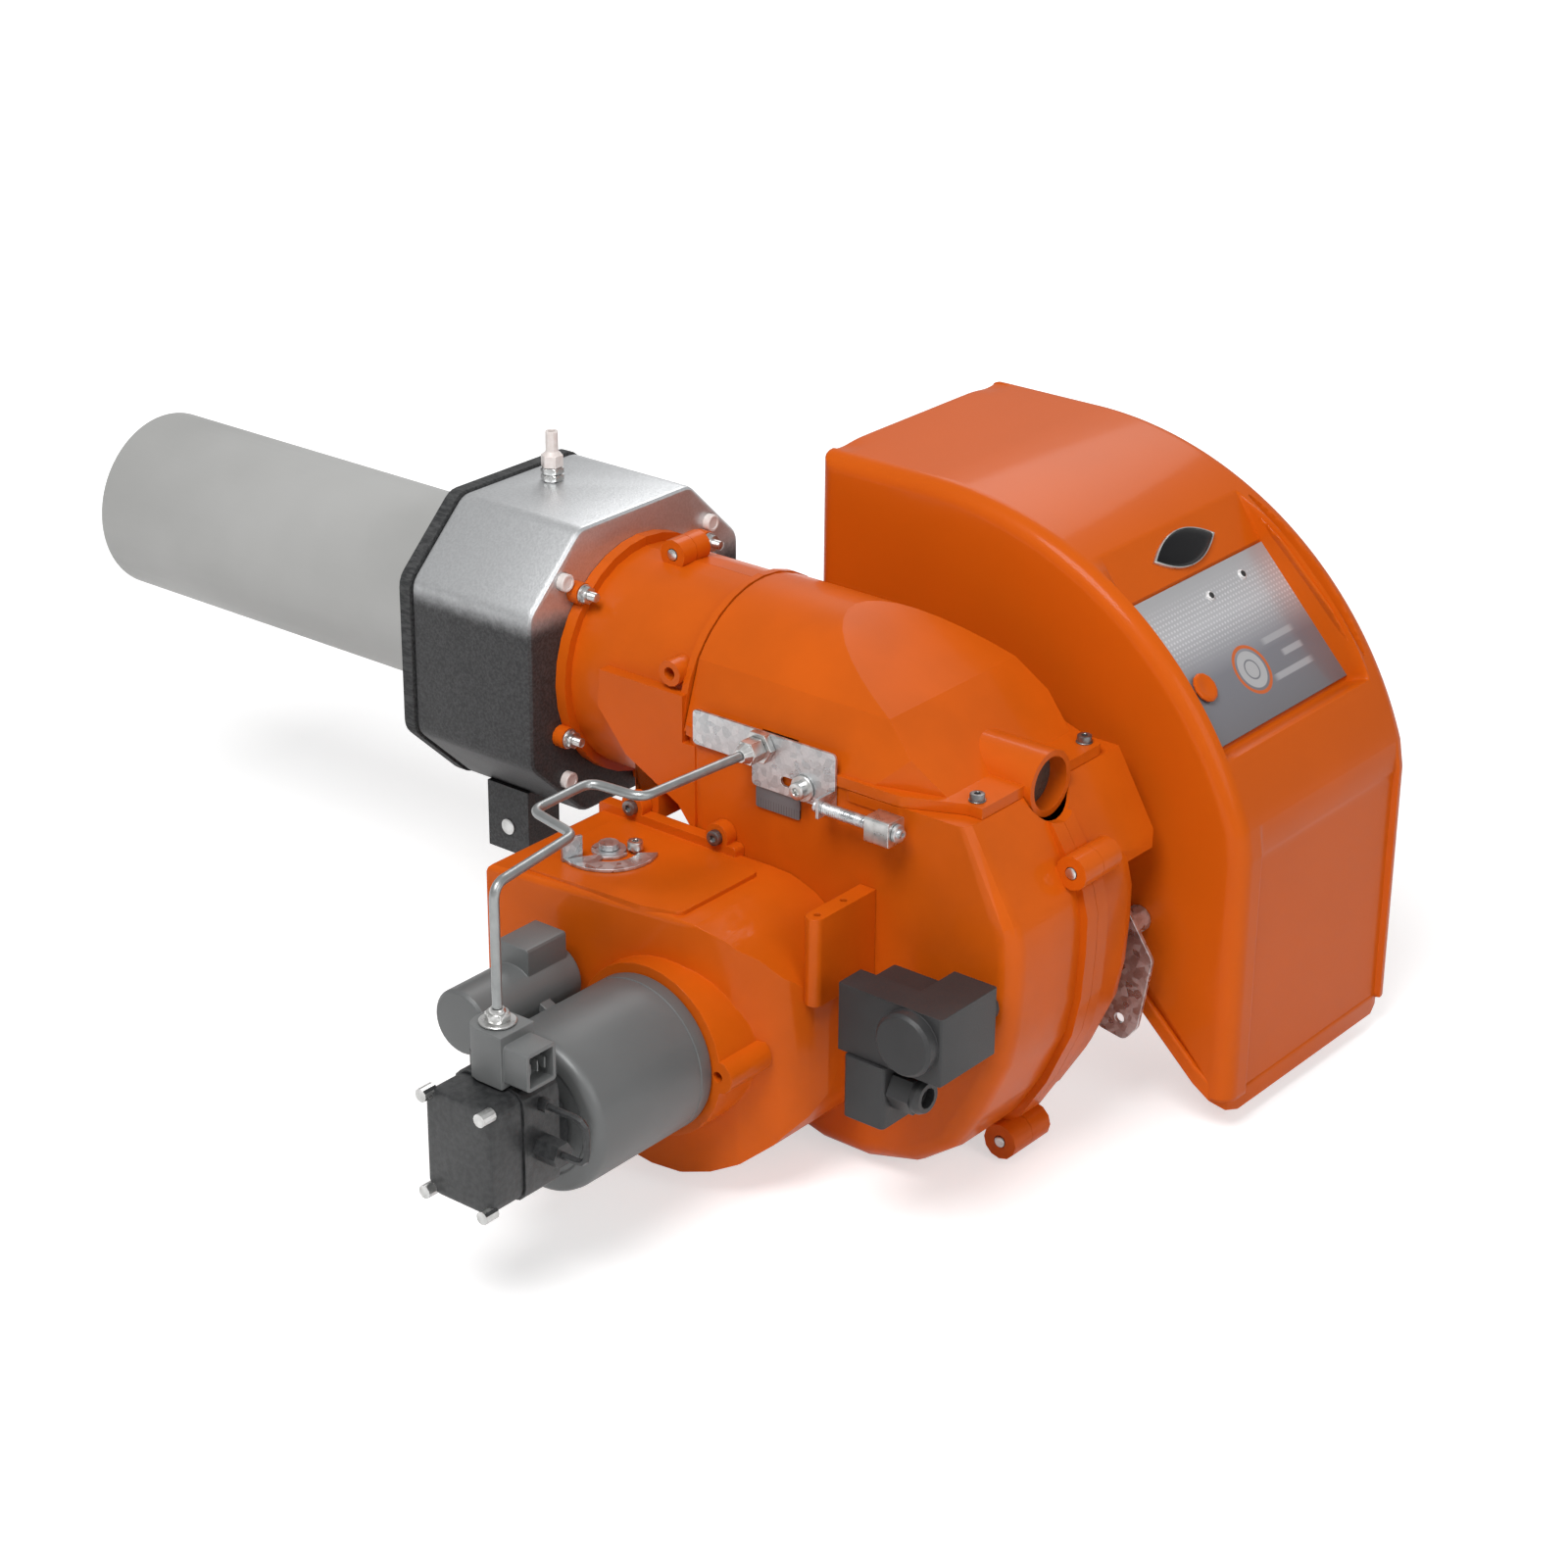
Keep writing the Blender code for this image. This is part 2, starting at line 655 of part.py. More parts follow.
def rounded(points, radii):
    """Outline with each corner replaced by an arc of its radius, shortened where the sides are short."""
    if not hasattr(radii, "__len__"):
        radii = [radii] * len(points)
    outline = []
    for i, corner in enumerate(points):
        here = Vector(corner)
        back = Vector(points[i - 1]) - here
        ahead = Vector(points[(i + 1) % len(points)]) - here
        turn = back.angle(ahead)
        if radii[i] <= 0 or turn > pi - FLAT_ANGLE:
            outline.append(tuple(here))
            continue
        reach = min(radii[i] / tan(turn / 2), SIDE_SHARE * back.length, SIDE_SHARE * ahead.length)
        radius = reach * tan(turn / 2)
        middle = here + (back.normalized() + ahead.normalized()).normalized() * radius / sin(turn / 2)
        first = here + back.normalized() * reach - middle
        last = here + ahead.normalized() * reach - middle
        sweep = first.angle_signed(last)
        for k in range(CORNER_STEPS + 1):
            angle = -sweep * k / CORNER_STEPS
            spoke = Vector((first.x * cos(angle) - first.y * sin(angle), first.x * sin(angle) + first.y * cos(angle)))
            outline.append(tuple(middle + spoke))
    return outline


def area(points):
    return sum(a[0] * b[1] - b[0] * a[1] for a, b in zip(points, points[1:] + points[:1])) / 2


def inset(points, depth):
    """Outline moved inwards by depth, or outwards when depth is negative."""
    side = 1 if area(points) > 0 else -1
    moved = []
    for i, corner in enumerate(points):
        here = Vector(corner)
        back = (here - Vector(points[i - 1])).normalized()
        ahead = (Vector(points[(i + 1) % len(points)]) - here).normalized()
        normal = Vector((-back.y - ahead.y, back.x + ahead.x)) * side
        if normal.length < FLAT_ANGLE:
            normal = Vector((-back.y, back.x)) * side
        normal.normalize()
        lean = max(normal.dot(Vector((-back.y, back.x)) * side), MITRE_SHARE)
        moved.append(tuple(here + normal * depth / lean))
    return moved


def prism(axis, outline, start, end, name="prism"):
    return solid(name, [[at(axis, u, v, w) for u, v in outline] for w in (start, end)])


def many(axis, outlines, start, end):
    """One tool made of separate prisms of the same length."""
    return solid("tool", *[[[at(axis, u, v, w) for u, v in outline] for w in (start, end)] for outline in outlines])


def eased(axis, outline, start, end, radius, both=False, keep=None):
    """Prism whose edge at the end station is rounded, at both ends when asked; keep holds points in place."""
    way = 1 if end > start else -1
    stations = []
    if both:
        stations += [(start + way * radius * (1 - cos(a)), radius * (1 - sin(a))) for a in EDGE_ANGLES]
    else:
        stations.append((start, 0))
    stations += [(end - way * radius * (1 - cos(a)), radius * (1 - sin(a))) for a in reversed(EDGE_ANGLES)]
    rings = []
    for w, depth in stations:
        ring = inset(outline, depth) if depth else list(outline)
        if keep:
            ring = [keep(old, new) for old, new in zip(outline, ring)]
        rings.append([at(axis, u, v, w) for u, v in ring])
    return solid("prism", rings)


def turned(axis, centre, profile, steps=ROUND_STEPS, hollow=False):
    """Solid turned about a line along the axis; profile holds (radius, station) pairs."""
    rings = [[at(axis, u, v, w) for u, v in circle(radius, steps, centre)] for radius, w in profile]
    return solid("turned", (rings, hollow))


def pin(axis, centre, radius, start, end, steps=SMALL_STEPS):
    return turned(axis, centre, [(radius, start), (radius, end)], steps)


def bent(points, radius):
    """Path through the points with each bend rounded."""
    path = [Vector(points[0])]
    for before, here, after in zip(points, points[1:], points[2:]):
        here = Vector(here)
        back = Vector(before) - here
        ahead = Vector(after) - here
        turn = back.angle(ahead)
        reach = min(radius / tan(turn / 2), SIDE_SHARE * back.length, SIDE_SHARE * ahead.length)
        first = here + back.normalized() * reach
        last = here + ahead.normalized() * reach
        for k in range(BEND_STEPS + 1):
            t = k / BEND_STEPS
            path.append(first * (1 - t) ** 2 + here * 2 * t * (1 - t) + last * t ** 2)
    path.append(Vector(points[-1]))
    return path


def swept(path, radius, sides):
    """Round tube along a path, with its frame carried along without twist."""
    direction = (path[1] - path[0]).normalized()
    across = direction.orthogonal().normalized()
    rings = []
    for i, point in enumerate(path):
        back = (point - path[i - 1]).normalized() if i else direction
        ahead = (path[i + 1] - point).normalized() if i + 1 < len(path) else back
        mean = (back + ahead).normalized()
        across = (across - mean * across.dot(mean)).normalized()
        up = mean.cross(across)
        rings.append([point + across * radius * cos(2 * pi * k / sides) + up * radius * sin(2 * pi * k / sides)
                      for k in range(sides)])
    return solid("swept", rings)


def blast_tube():
    rear = BLOCK_REAR_Y + TUBE_SEAT_MARGIN
    shell = turned("Y", (0, 0), [(TUBE_R, TUBE_REACH - TUBE_LIP), (TUBE_R - TUBE_LIP, TUBE_REACH),
                                 (TUBE_R - TUBE_WALL, TUBE_REACH), (TUBE_R - TUBE_WALL, rear), (TUBE_R, rear)],
                   hollow=True)
    finish(shell, "blast_tube", "steel")


def block_outline(margin):
    w, h, fx, fz = BLOCK_HALF_W, BLOCK_HALF_H, BLOCK_FLAT_X, BLOCK_FLAT_Z
    corners = [(fx, h), (-fx, h), (-w, fz), (-w, -fz), (-fx, -h), (fx, -h), (w, -fz), (w, fz)]
    return inset(rounded(corners, BLOCK_CORNER_R), -margin)


def stud_places():
    return [(i * BLOCK_STUD_X, k * BLOCK_STUD_Z) for i in (-1, 1) for k in (-1, 1)]


def front_gasket():
    ring = prism("Y", block_outline(GASKET_PROUD), -GASKET_T, 0)
    holes = [circle(TUBE_R + CLEAR, ROUND_STEPS)]
    holes += [circle(BLOCK_STUD_R + CLEAR, SMALL_STEPS, place) for place in stud_places()]
    carve(ring, many("Y", holes, -GASKET_T - OVERRUN, OVERRUN))
    finish(ring, "front_gasket", "gasket")


def lug_stations():
    lug_y = BLOCK_FRONT_Y - LUG_FRONT_GAP - LUG_LENGTH / 2
    lug_z = -BLOCK_HALF_H - LUG_DROP + LUG_LENGTH / 2
    return lug_y, lug_z


def mounting_block():
    block = eased("Y", block_outline(0), BLOCK_REAR_Y, BLOCK_FRONT_Y, BLOCK_EDGE_R, both=True)
    lug_y, lug_z = lug_stations()
    half = LUG_LENGTH / 2
    foot = box_outline(lug_y - half, lug_y + half, lug_z - half, -BLOCK_HALF_H + OVERRUN)
    fuse(block, prism("X", foot, LUG_LEFT_X, LUG_LEFT_X + LUG_WIDTH))
    carve(block, pin("Y", (0, 0), TUBE_R + CLEAR, BLOCK_REAR_Y - OVERRUN, BLOCK_FRONT_Y + OVERRUN, ROUND_STEPS))
    studs = [circle(BLOCK_STUD_R + CLEAR, SMALL_STEPS, place) for place in stud_places()]
    carve(block, many("Y", studs, BLOCK_REAR_Y - OVERRUN, BLOCK_FRONT_Y + OVERRUN))
    screws = [circle(FLANGE_STUD_R + CLEAR, SMALL_STEPS, place) for place in flange_places()]
    carve(block, many("Y", screws, BLOCK_REAR_Y - OVERRUN, BLOCK_REAR_Y + FLANGE_STUD_DEPTH + CLEAR))
    carve(block, pin("X", (lug_y, lug_z), LUG_HOLE_R + CLEAR, LUG_LEFT_X - OVERRUN, LUG_LEFT_X + LUG_WIDTH + OVERRUN))
    tap_y = BLOCK_FRONT_Y - TAP_BACK
    carve(block, pin("Z", (TAP_X, tap_y), TAP_THREAD_R + CLEAR, BLOCK_HALF_H - TAP_THREAD_DEPTH - CLEAR,
                     BLOCK_HALF_H + OVERRUN))
    finish(block, "mounting_block", "cast_aluminium")
    lug_pin = turned("X", (lug_y, lug_z), [(LUG_HOLE_R - LUG_PIN_PROUD / 2, LUG_LEFT_X - LUG_PIN_PROUD),
                                           (LUG_HOLE_R, LUG_LEFT_X - LUG_PIN_PROUD / 2),
                                           (LUG_HOLE_R, LUG_LEFT_X + LUG_WIDTH + LUG_PIN_PROUD)], SMALL_STEPS)
    finish(lug_pin, "block_lug_pin", "steel", (LUG_LEFT_X, lug_y, lug_z))


def block_studs():
    tip = BLOCK_REAR_Y - BLOCK_STUD_PROUD
    r, core, groove = BLOCK_STUD_R, BLOCK_STUD_CORE_R, BLOCK_STUD_GROOVE
    for k, place in enumerate(stud_places()):
        stud = turned("Y", place, [(core, tip), (core, tip + groove), (core + groove, tip + groove),
                                   (core + groove, tip), (r - groove, tip), (r, tip + groove), (r, -CLEAR)],
                      SMALL_STEPS)
        finish(stud, f"boiler_stud_{k + 1}", "steel", (place[0], tip, place[1]))


def pressure_tap():
    tap_y = BLOCK_FRONT_Y - TAP_BACK
    place = (TAP_X, tap_y)
    low = BLOCK_HALF_H + CLEAR
    nuts = prism("Z", hexagon(TAP_NUT_FLATS, place), low, low + TAP_NUT_T)
    fuse(nuts, pin("Z", place, TAP_NUT_FLATS * NUT_NECK_SHARE, low + TAP_NUT_T / 2, low + TAP_NUT_T * 2),
         prism("Z", hexagon(TAP_NUT_FLATS, place, HALF_FLAT), low + TAP_NUT_T + NUT_GROOVE, low + 2 * TAP_NUT_T))
    carve(nuts, pin("Z", place, TAP_THREAD_R + CLEAR, low - OVERRUN, low + 2 * TAP_NUT_T + OVERRUN))
    finish(nuts, "tap_locknuts", "steel", (TAP_X, tap_y, low))
    base = low + 2 * TAP_NUT_T + CLEAR
    body = prism("Z", hexagon(TAP_HEX_FLATS, place), base, base + TAP_HEX_H)
    cone = turned("Z", place, [(TAP_THREAD_R, BLOCK_HALF_H - TAP_THREAD_DEPTH), (TAP_THREAD_R, base + TAP_HEX_H / 2),
                               (TAP_HEX_FLATS / 2, base + TAP_HEX_H), (TAP_STEM_R, base + TAP_HEX_H * 1.3),
                               (TAP_STEM_R, base + TAP_HEX_H * 1.3 + TAP_STEM_H)], SMALL_STEPS)
    fuse(body, cone)
    carve(body, pin("Z", place, TAP_BORE_R, base, base + TAP_HEX_H * 2 + TAP_STEM_H))
    finish(body, "pressure_tap", "steel", (TAP_X, tap_y, base))


def flange_places():
    return [(FLANGE_BOLT_R * cos(radians(a)), FLANGE_BOLT_R * sin(radians(a))) for a in FLANGE_BOLT_ANGLES]


def from_shares(shares):
    return [(RIM_Y - s * CASING_LENGTH, SEAM_Z - d * CASING_DROP) for s, d in shares]


def seam_kept(old, new):
    """Keep an outline's points on the seam at its height, wherever an inset moves them."""
    return (new[0], SEAM_Z) if abs(old[1] - SEAM_Z) < FLAT_ANGLE else new


def opening_kept(old, new):
    """Keep the inside's points above the seam, so that the inside stays open to the cover."""
    return (new[0], SEAM_Z + OVERRUN) if abs(old[1] - SEAM_Z - OVERRUN) < FLAT_ANGLE else new


def casing_solid():
    """The two halves in one: volute, duct, flanges, lugs and the inside, before it is split."""
    volute = from_shares(VOLUTE_SHARES)
    left = eased("X", volute, 0, SIDE_X, CASING_EDGE_R, keep=seam_kept)
    right = eased("X", volute, -OVERRUN, RIGHT_X, RIGHT_EDGE_R, keep=seam_kept)
    belt = prism("X", from_shares(BELT_SHARES), 0, CASING_HALF_W)
    pad = prism("X", from_shares(PAD_SHARES), SIDE_X * PAD_INNER_SHARE, SIDE_X)
    rib = prism("X", from_shares(RIB_SHARES), SIDE_X * PAD_INNER_SHARE, SIDE_X)
    flange = prism("X", [seam_kept(a, b) for a, b in zip(volute, inset(volute, -SPLIT_FLANGE_PROUD))],
                   -SPLIT_FLANGE_HALF, SPLIT_FLANGE_HALF)
    duct = turned("Y", (0, 0), [(FLANGE_R, FLANGE_Y), (FLANGE_R, FLANGE_Y - FLANGE_T), (DUCT_R, FLANGE_Y - FLANGE_T),
                                (DUCT_R, RIM_Y + RIM_T), (RIM_R, RIM_Y + RIM_T), (RIM_R, RIM_Y)])
    ears = many("Y", [circle(FLANGE_LUG_R, SMALL_STEPS, place) for place in flange_places()], FLANGE_Y,
                FLANGE_Y - FLANGE_T)
    lugs = many("X", [circle(radius, SMALL_STEPS, from_shares([(s, d)])[0]) for s, d, radius in SPLIT_LUGS],
                -SPLIT_LUG_HALF, SPLIT_LUG_HALF)
    top = (RIM_Y + TOP_LUG_AHEAD, DUCT_R + TOP_LUG_R / 2)
    top_lug = pin("X", top, TOP_LUG_R, -TOP_LUG_HALF, TOP_LUG_HALF)
    boss = pin("X", (RIM_Y + DUCT_BOSS_AHEAD, DUCT_BOSS_Z), DUCT_BOSS_R, SIDE_X * PAD_INNER_SHARE, -DUCT_BOSS_X)
    seat = prism("Z", cover_plan(RIM_Y - SEAT_FLANGE_BACK), SEAM_Z - SEAT_FLANGE_T, SEAM_Z - SEAT_STEP)
    body = fuse(left, right, belt, pad, rib, flange, duct, ears, lugs, top_lug, boss, seat)
    hollow = inset(volute, CASING_WALL)
    hollow = [(v[0], SEAM_Z + OVERRUN) if abs(o[1] - SEAM_Z) < FLAT_ANGLE else v for o, v in zip(volute, hollow)]
    cavity = eased("X", hollow, 0, SIDE_X + CASING_WALL, CASING_EDGE_R - CASING_WALL, keep=opening_kept)
    belt_low = from_shares(BELT_SHARES)
    belt_in = inset(belt_low, CASING_WALL)
    belt_in = [(v[0], SEAM_Z + OVERRUN) if abs(o[1] - SEAM_Z) < FLAT_ANGLE else v for o, v in zip(belt_low, belt_in)]
    fuse(cavity, eased("X", hollow, -OVERRUN, RIGHT_X - CASING_WALL, RIGHT_EDGE_R - CASING_WALL, keep=opening_kept),
         prism("X", belt_in, 0, CASING_HALF_W - CASING_WALL))
    deck, above = SEAM_Z - DECK_T, SEAM_Z + OVERRUN * 2
    mouth = common(copied(cavity), prism("Z", cover_mouth(), deck - OVERRUN, above))
    carve(cavity, prism("Z", box_outline(SIDE_X, -SIDE_X, RIM_Y - CASING_LENGTH, RIM_Y + OVERRUN), deck, above))
    bore = pin("Y", (0, 0), DUCT_R - CASING_WALL, RIM_Y - CASING_WALL * 3, FLANGE_Y + OVERRUN, ROUND_STEPS)
    carve(body, cavity, mouth, bore)
    spout = (SPOUT_X, SPOUT_Z)
    carve(body, pin("Y", spout, SPOUT_R + RUN_CLEAR, HOOD_REAR_Y, RIM_Y - SPOUT_FRONT_BACK, ROUND_STEPS))
    carve(body, pin("X", (FAN_Y, FAN_Z), EYE_R, SIDE_X - OVERRUN, SIDE_X + CASING_WALL + OVERRUN, ROUND_STEPS))
    holes = [circle(FLANGE_STUD_R + CLEAR, SMALL_STEPS, place) for place in flange_places()]
    carve(body, many("Y", holes, FLANGE_Y - FLANGE_T - OVERRUN, FLANGE_Y + OVERRUN))
    pins = [circle(SPLIT_SCREW_R + CLEAR, SMALL_STEPS, from_shares([(s, d)])[0]) for s, d, _ in SPLIT_LUGS]
    pins.append(circle(SPLIT_SCREW_R + CLEAR, SMALL_STEPS, top))
    carve(body, many("X", pins, -SPLIT_LUG_HALF - OVERRUN, SPLIT_LUG_HALF + OVERRUN))
    carve(body, pin("X", (RIM_Y + DUCT_BOSS_AHEAD, DUCT_BOSS_Z), DUCT_BOSS_HOLE_R,
                    -DUCT_BOSS_X + DUCT_BOSS_HOLE_R * 2, -DUCT_BOSS_X - OVERRUN))
    holes = [circle(INTAKE_SCREW_R + CLEAR, SMALL_STEPS, place) for place in ear_places()]
    carve(body, many("X", holes, SIDE_X + INTAKE_SCREW_DEPTH + CLEAR, SIDE_X - OVERRUN))
    holes = [circle(COVER_SCREW_R + CLEAR, SMALL_STEPS, place) for place in cover_screw_places()]
    carve(body, many("Z", holes, SEAM_Z - COVER_SCREW_DEPTH - CLEAR, SEAM_Z + OVERRUN))
    return body


def casing():
    whole = casing_solid()
    far = CASING_LENGTH + DUCT_LENGTH
    other = copied(whole)
    cut_left = prism("X", box_outline(RIM_Y - far, FLANGE_Y + far, -far, far), -far, -CLEAR / 2)
    cut_right = prism("X", box_outline(RIM_Y - far, FLANGE_Y + far, -far, far), CLEAR / 2, far)
    finish(common(whole, cut_left), "casing_left", "orange", (0, FAN_Y, FAN_Z))
    finish(common(other, cut_right), "casing_right", "orange", (0, FAN_Y, FAN_Z))
    for k, (s, d, _) in enumerate(SPLIT_LUGS + ((0, 0, 0),)):
        place = from_shares([(s, d)])[0]
        half = SPLIT_LUG_HALF
        if k == len(SPLIT_LUGS):
            place = (RIM_Y + TOP_LUG_AHEAD, DUCT_R + TOP_LUG_R / 2)
            half = TOP_LUG_HALF
        screw = turned("X", place, [(SPLIT_SCREW_R, half + SPLIT_SCREW_R), (SPLIT_SCREW_R, -half - CLEAR),
                                    (SPLIT_HEAD_R, -half - CLEAR), (SPLIT_HEAD_R, -half - SPLIT_HEAD_T)], SMALL_STEPS)
        finish(screw, f"casing_screw_{k + 1}", "steel", (0, *place))


def flange_bolts():
    rear = FLANGE_Y - FLANGE_T - CLEAR
    for k, place in enumerate(flange_places()):
        bolt = pin("Y", place, FLANGE_STUD_R, rear - FLANGE_WASHER_T - FLANGE_NUT_T - FLANGE_STUD_PROUD,
                   BLOCK_REAR_Y + FLANGE_STUD_DEPTH)
        fuse(bolt, pin("Y", place, FLANGE_WASHER_R, rear - FLANGE_WASHER_T, rear),
             prism("Y", hexagon(FLANGE_NUT_FLATS, place, k), rear - FLANGE_WASHER_T * 0.5 - FLANGE_NUT_T,
                   rear - FLANGE_WASHER_T * 0.5))
        finish(bolt, f"flange_nut_{k + 1}", "steel", (place[0], rear, place[1]))


def cover_section(drop, low):
    """Half-round section with straight sides that spread from a crease to the foot; drop is the wall."""
    crease = radians(COVER_CREASE_ANGLE)
    outer = [(COVER_FOOT_X - drop, low)]
    outer += [((COVER_ARCH_R - drop) * cos(a), (COVER_ARCH_R - drop) * sin(a)) for a in
              [crease + (pi - 2 * crease) * i / ARCH_STEPS for i in range(ARCH_STEPS + 1)]]
    outer += [(drop - COVER_FOOT_X, low)]
    return outer


def on_slope(first, second, height):
    """Point at a height on the line through two points."""
    share = (height - first[1]) / (second[1] - first[1])
    return first[0] + (second[0] - first[0]) * share, height


def cover_form(drop, low):
    """Arch on straight sides, cut by two slopes that fall to the rear and by plan corners that turn in."""
    ahead = drop + OVERRUN if drop else 0
    front = RIM_Y - CLEAR - COVER_STEP + ahead
    top = COVER_ARCH_R + OVERRUN
    peak = (RIM_Y - COVER_PEAK_BACK, COVER_ARCH_R)
    fold = (RIM_Y - COVER_BREAK_BACK, COVER_ARCH_R * sin(radians(COVER_CREASE_ANGLE)))
    toe = (RIM_Y - COVER_TOE_BACK, SEAM_Z + COVER_FLANGE_T)
    base = low - drop
    side = [(front, base), (front, top), on_slope(peak, fold, top), fold, toe, on_slope(fold, toe, base)]
    rear = side[-1][0]
    plan = [(COVER_FOOT_X, front), (COVER_FOOT_X, RIM_Y - COVER_SLANT_BACK), (COVER_TOE_X, toe[0]),
            (COVER_TOE_X, rear), (-COVER_TOE_X, rear), (-COVER_TOE_X, toe[0]),
            (-COVER_FOOT_X, RIM_Y - COVER_SLANT_BACK), (-COVER_FOOT_X, front)]
    form = prism("Y", cover_section(drop, low), front, rear)
    return common(form, prism("X", inset(side, drop), -COVER_FLANGE_X, COVER_FLANGE_X),
                  prism("Z", inset(plan, drop), base - OVERRUN, top))


def cover_plan(front):
    """Plan of the cover's flange from its front edge back to the two ears."""
    w, corner = COVER_FLANGE_X, RIM_Y - CLEAR - COVER_LENGTH
    plan = [(w, front), (w, RIM_Y - COVER_FLANGE_SLANT_BACK), (w * COVER_EAR_SHARE, corner + COVER_EAR_R),
            (w * COVER_EAR_SHARE, corner), (-w * COVER_EAR_SHARE, corner),
            (-w * COVER_EAR_SHARE, corner + COVER_EAR_R), (-w, RIM_Y - COVER_FLANGE_SLANT_BACK), (-w, front)]
    return rounded(plan, [0, COVER_EAR_R, COVER_EAR_R, COVER_EAR_R / 2] * 2)


def cover_mouth():
    """Plan of the opening in the casing's deck: the space inside the cover's walls."""
    front, bend, toe = RIM_Y + OVERRUN + COVER_WALL, RIM_Y - COVER_SLANT_BACK, RIM_Y - COVER_TOE_BACK
    plan = [(COVER_FOOT_X, front), (COVER_FOOT_X, bend), (COVER_TOE_X, toe),
            (-COVER_TOE_X, toe), (-COVER_FOOT_X, bend), (-COVER_FOOT_X, front)]
    return inset(plan, COVER_WALL)


def cover_screw_places():
    return [(i * COVER_SCREW_X, RIM_Y - COVER_SCREW_BACK) for i in (-1, 1)]


def top_cover():
    low = SEAM_Z + CLEAR
    top = low + COVER_FLANGE_T
    front = RIM_Y - CLEAR
    shell = cover_form(0, low + OVERRUN / 2)
    foot = prism("Z", cover_plan(front), low, top)
    collar = pin("Y", (SPOUT_X, SPOUT_Z), SPOUT_R, RIM_Y - SPOUT_FRONT_BACK, RIM_Y - SPOUT_FRONT_BACK - SPOUT_LENGTH,
                 ROUND_STEPS)
    body = fuse(shell, foot, collar)
    carve(body, cover_form(COVER_WALL, low - OVERRUN))
    carve(body, pin("Y", (SPOUT_X, SPOUT_Z), SPOUT_BORE_R, RIM_Y - SPOUT_FRONT_BACK + SPOUT_LENGTH,
                    RIM_Y - SPOUT_FRONT_BACK - SPOUT_LENGTH - OVERRUN, ROUND_STEPS))
    slot = box_outline(LINE_Y - HEAD_TRAVEL - LINE_R - RUN_CLEAR * 2, LINE_Y + LINE_R + RUN_CLEAR * 2,
                       LINE_Z - LINE_R - RUN_CLEAR, LINE_Z + LINE_R + RUN_CLEAR)
    carve(body, prism("X", slot, -COVER_FLANGE_X - OVERRUN, -COVER_FOOT_X * SLOT_INNER_SHARE))
    holes = [circle(COVER_SCREW_R + CLEAR, SMALL_STEPS, place) for place in cover_screw_places()]
    carve(body, many("Z", holes, low - OVERRUN, top + COVER_ARCH_R))
    finish(body, "top_cover", "orange", (0, RIM_Y, SEAM_Z))
    for k, place in enumerate(cover_screw_places()):
        screw = turned("Z", place, [(COVER_SCREW_R, SEAM_Z - COVER_SCREW_DEPTH), (COVER_SCREW_R, top + CLEAR),
                                    (SCREW_HEAD_R, top + CLEAR), (SCREW_HEAD_R, top + SCREW_HEAD_T)], SMALL_STEPS)
        finish(screw, f"cover_screw_{k + 1}", "steel", (place[0], place[1], top))
    glass_y = RIM_Y - SPOUT_FRONT_BACK - SPOUT_LENGTH + GLASS_INSET
    glass = pin("Y", (SPOUT_X, SPOUT_Z), SPOUT_BORE_R - CLEAR, glass_y, glass_y + GLASS_T, ROUND_STEPS)
    finish(glass, "sight_glass", "glass", (SPOUT_X, glass_y, SPOUT_Z))


def ear_places():
    return [(RIM_Y - EAR_FIRST_BACK, EAR_Z), (RIM_Y - EAR_FIRST_BACK - EAR_PITCH, EAR_Z)]


def arc(radius, centre, start, end, steps):
    return [(centre[0] + radius * cos(radians(start + (end - start) * i / steps)),
             centre[1] + radius * sin(radians(start + (end - start) * i / steps))) for i in range(steps + 1)]


def intake_form(depth):
    """Side outline and plan outline of the intake housing, both moved inwards by depth."""
    front = RIM_Y + INTAKE_FRONT_AHEAD
    low = INTAKE_TOP_Z - INTAKE_BOX_H
    side = [(front, low), (front, INTAKE_TOP_Z)] + arc(DRUM_R, (FAN_Y, INTAKE_TOP_Z - DRUM_R), 90, 330, DRUM_STEPS)
    side += [(RIM_Y - INTAKE_SLANT_Y * 0, low)]
    plan = [(SIDE_X - CLEAR, front)] + [(x * INTAKE_OUTER_X, front - y * INTAKE_REACH) for x, y in INTAKE_PLAN_SHARES]
    plan.append((SIDE_X - CLEAR, front - INTAKE_REACH))
    return inset(side, depth), inset(plan, depth)


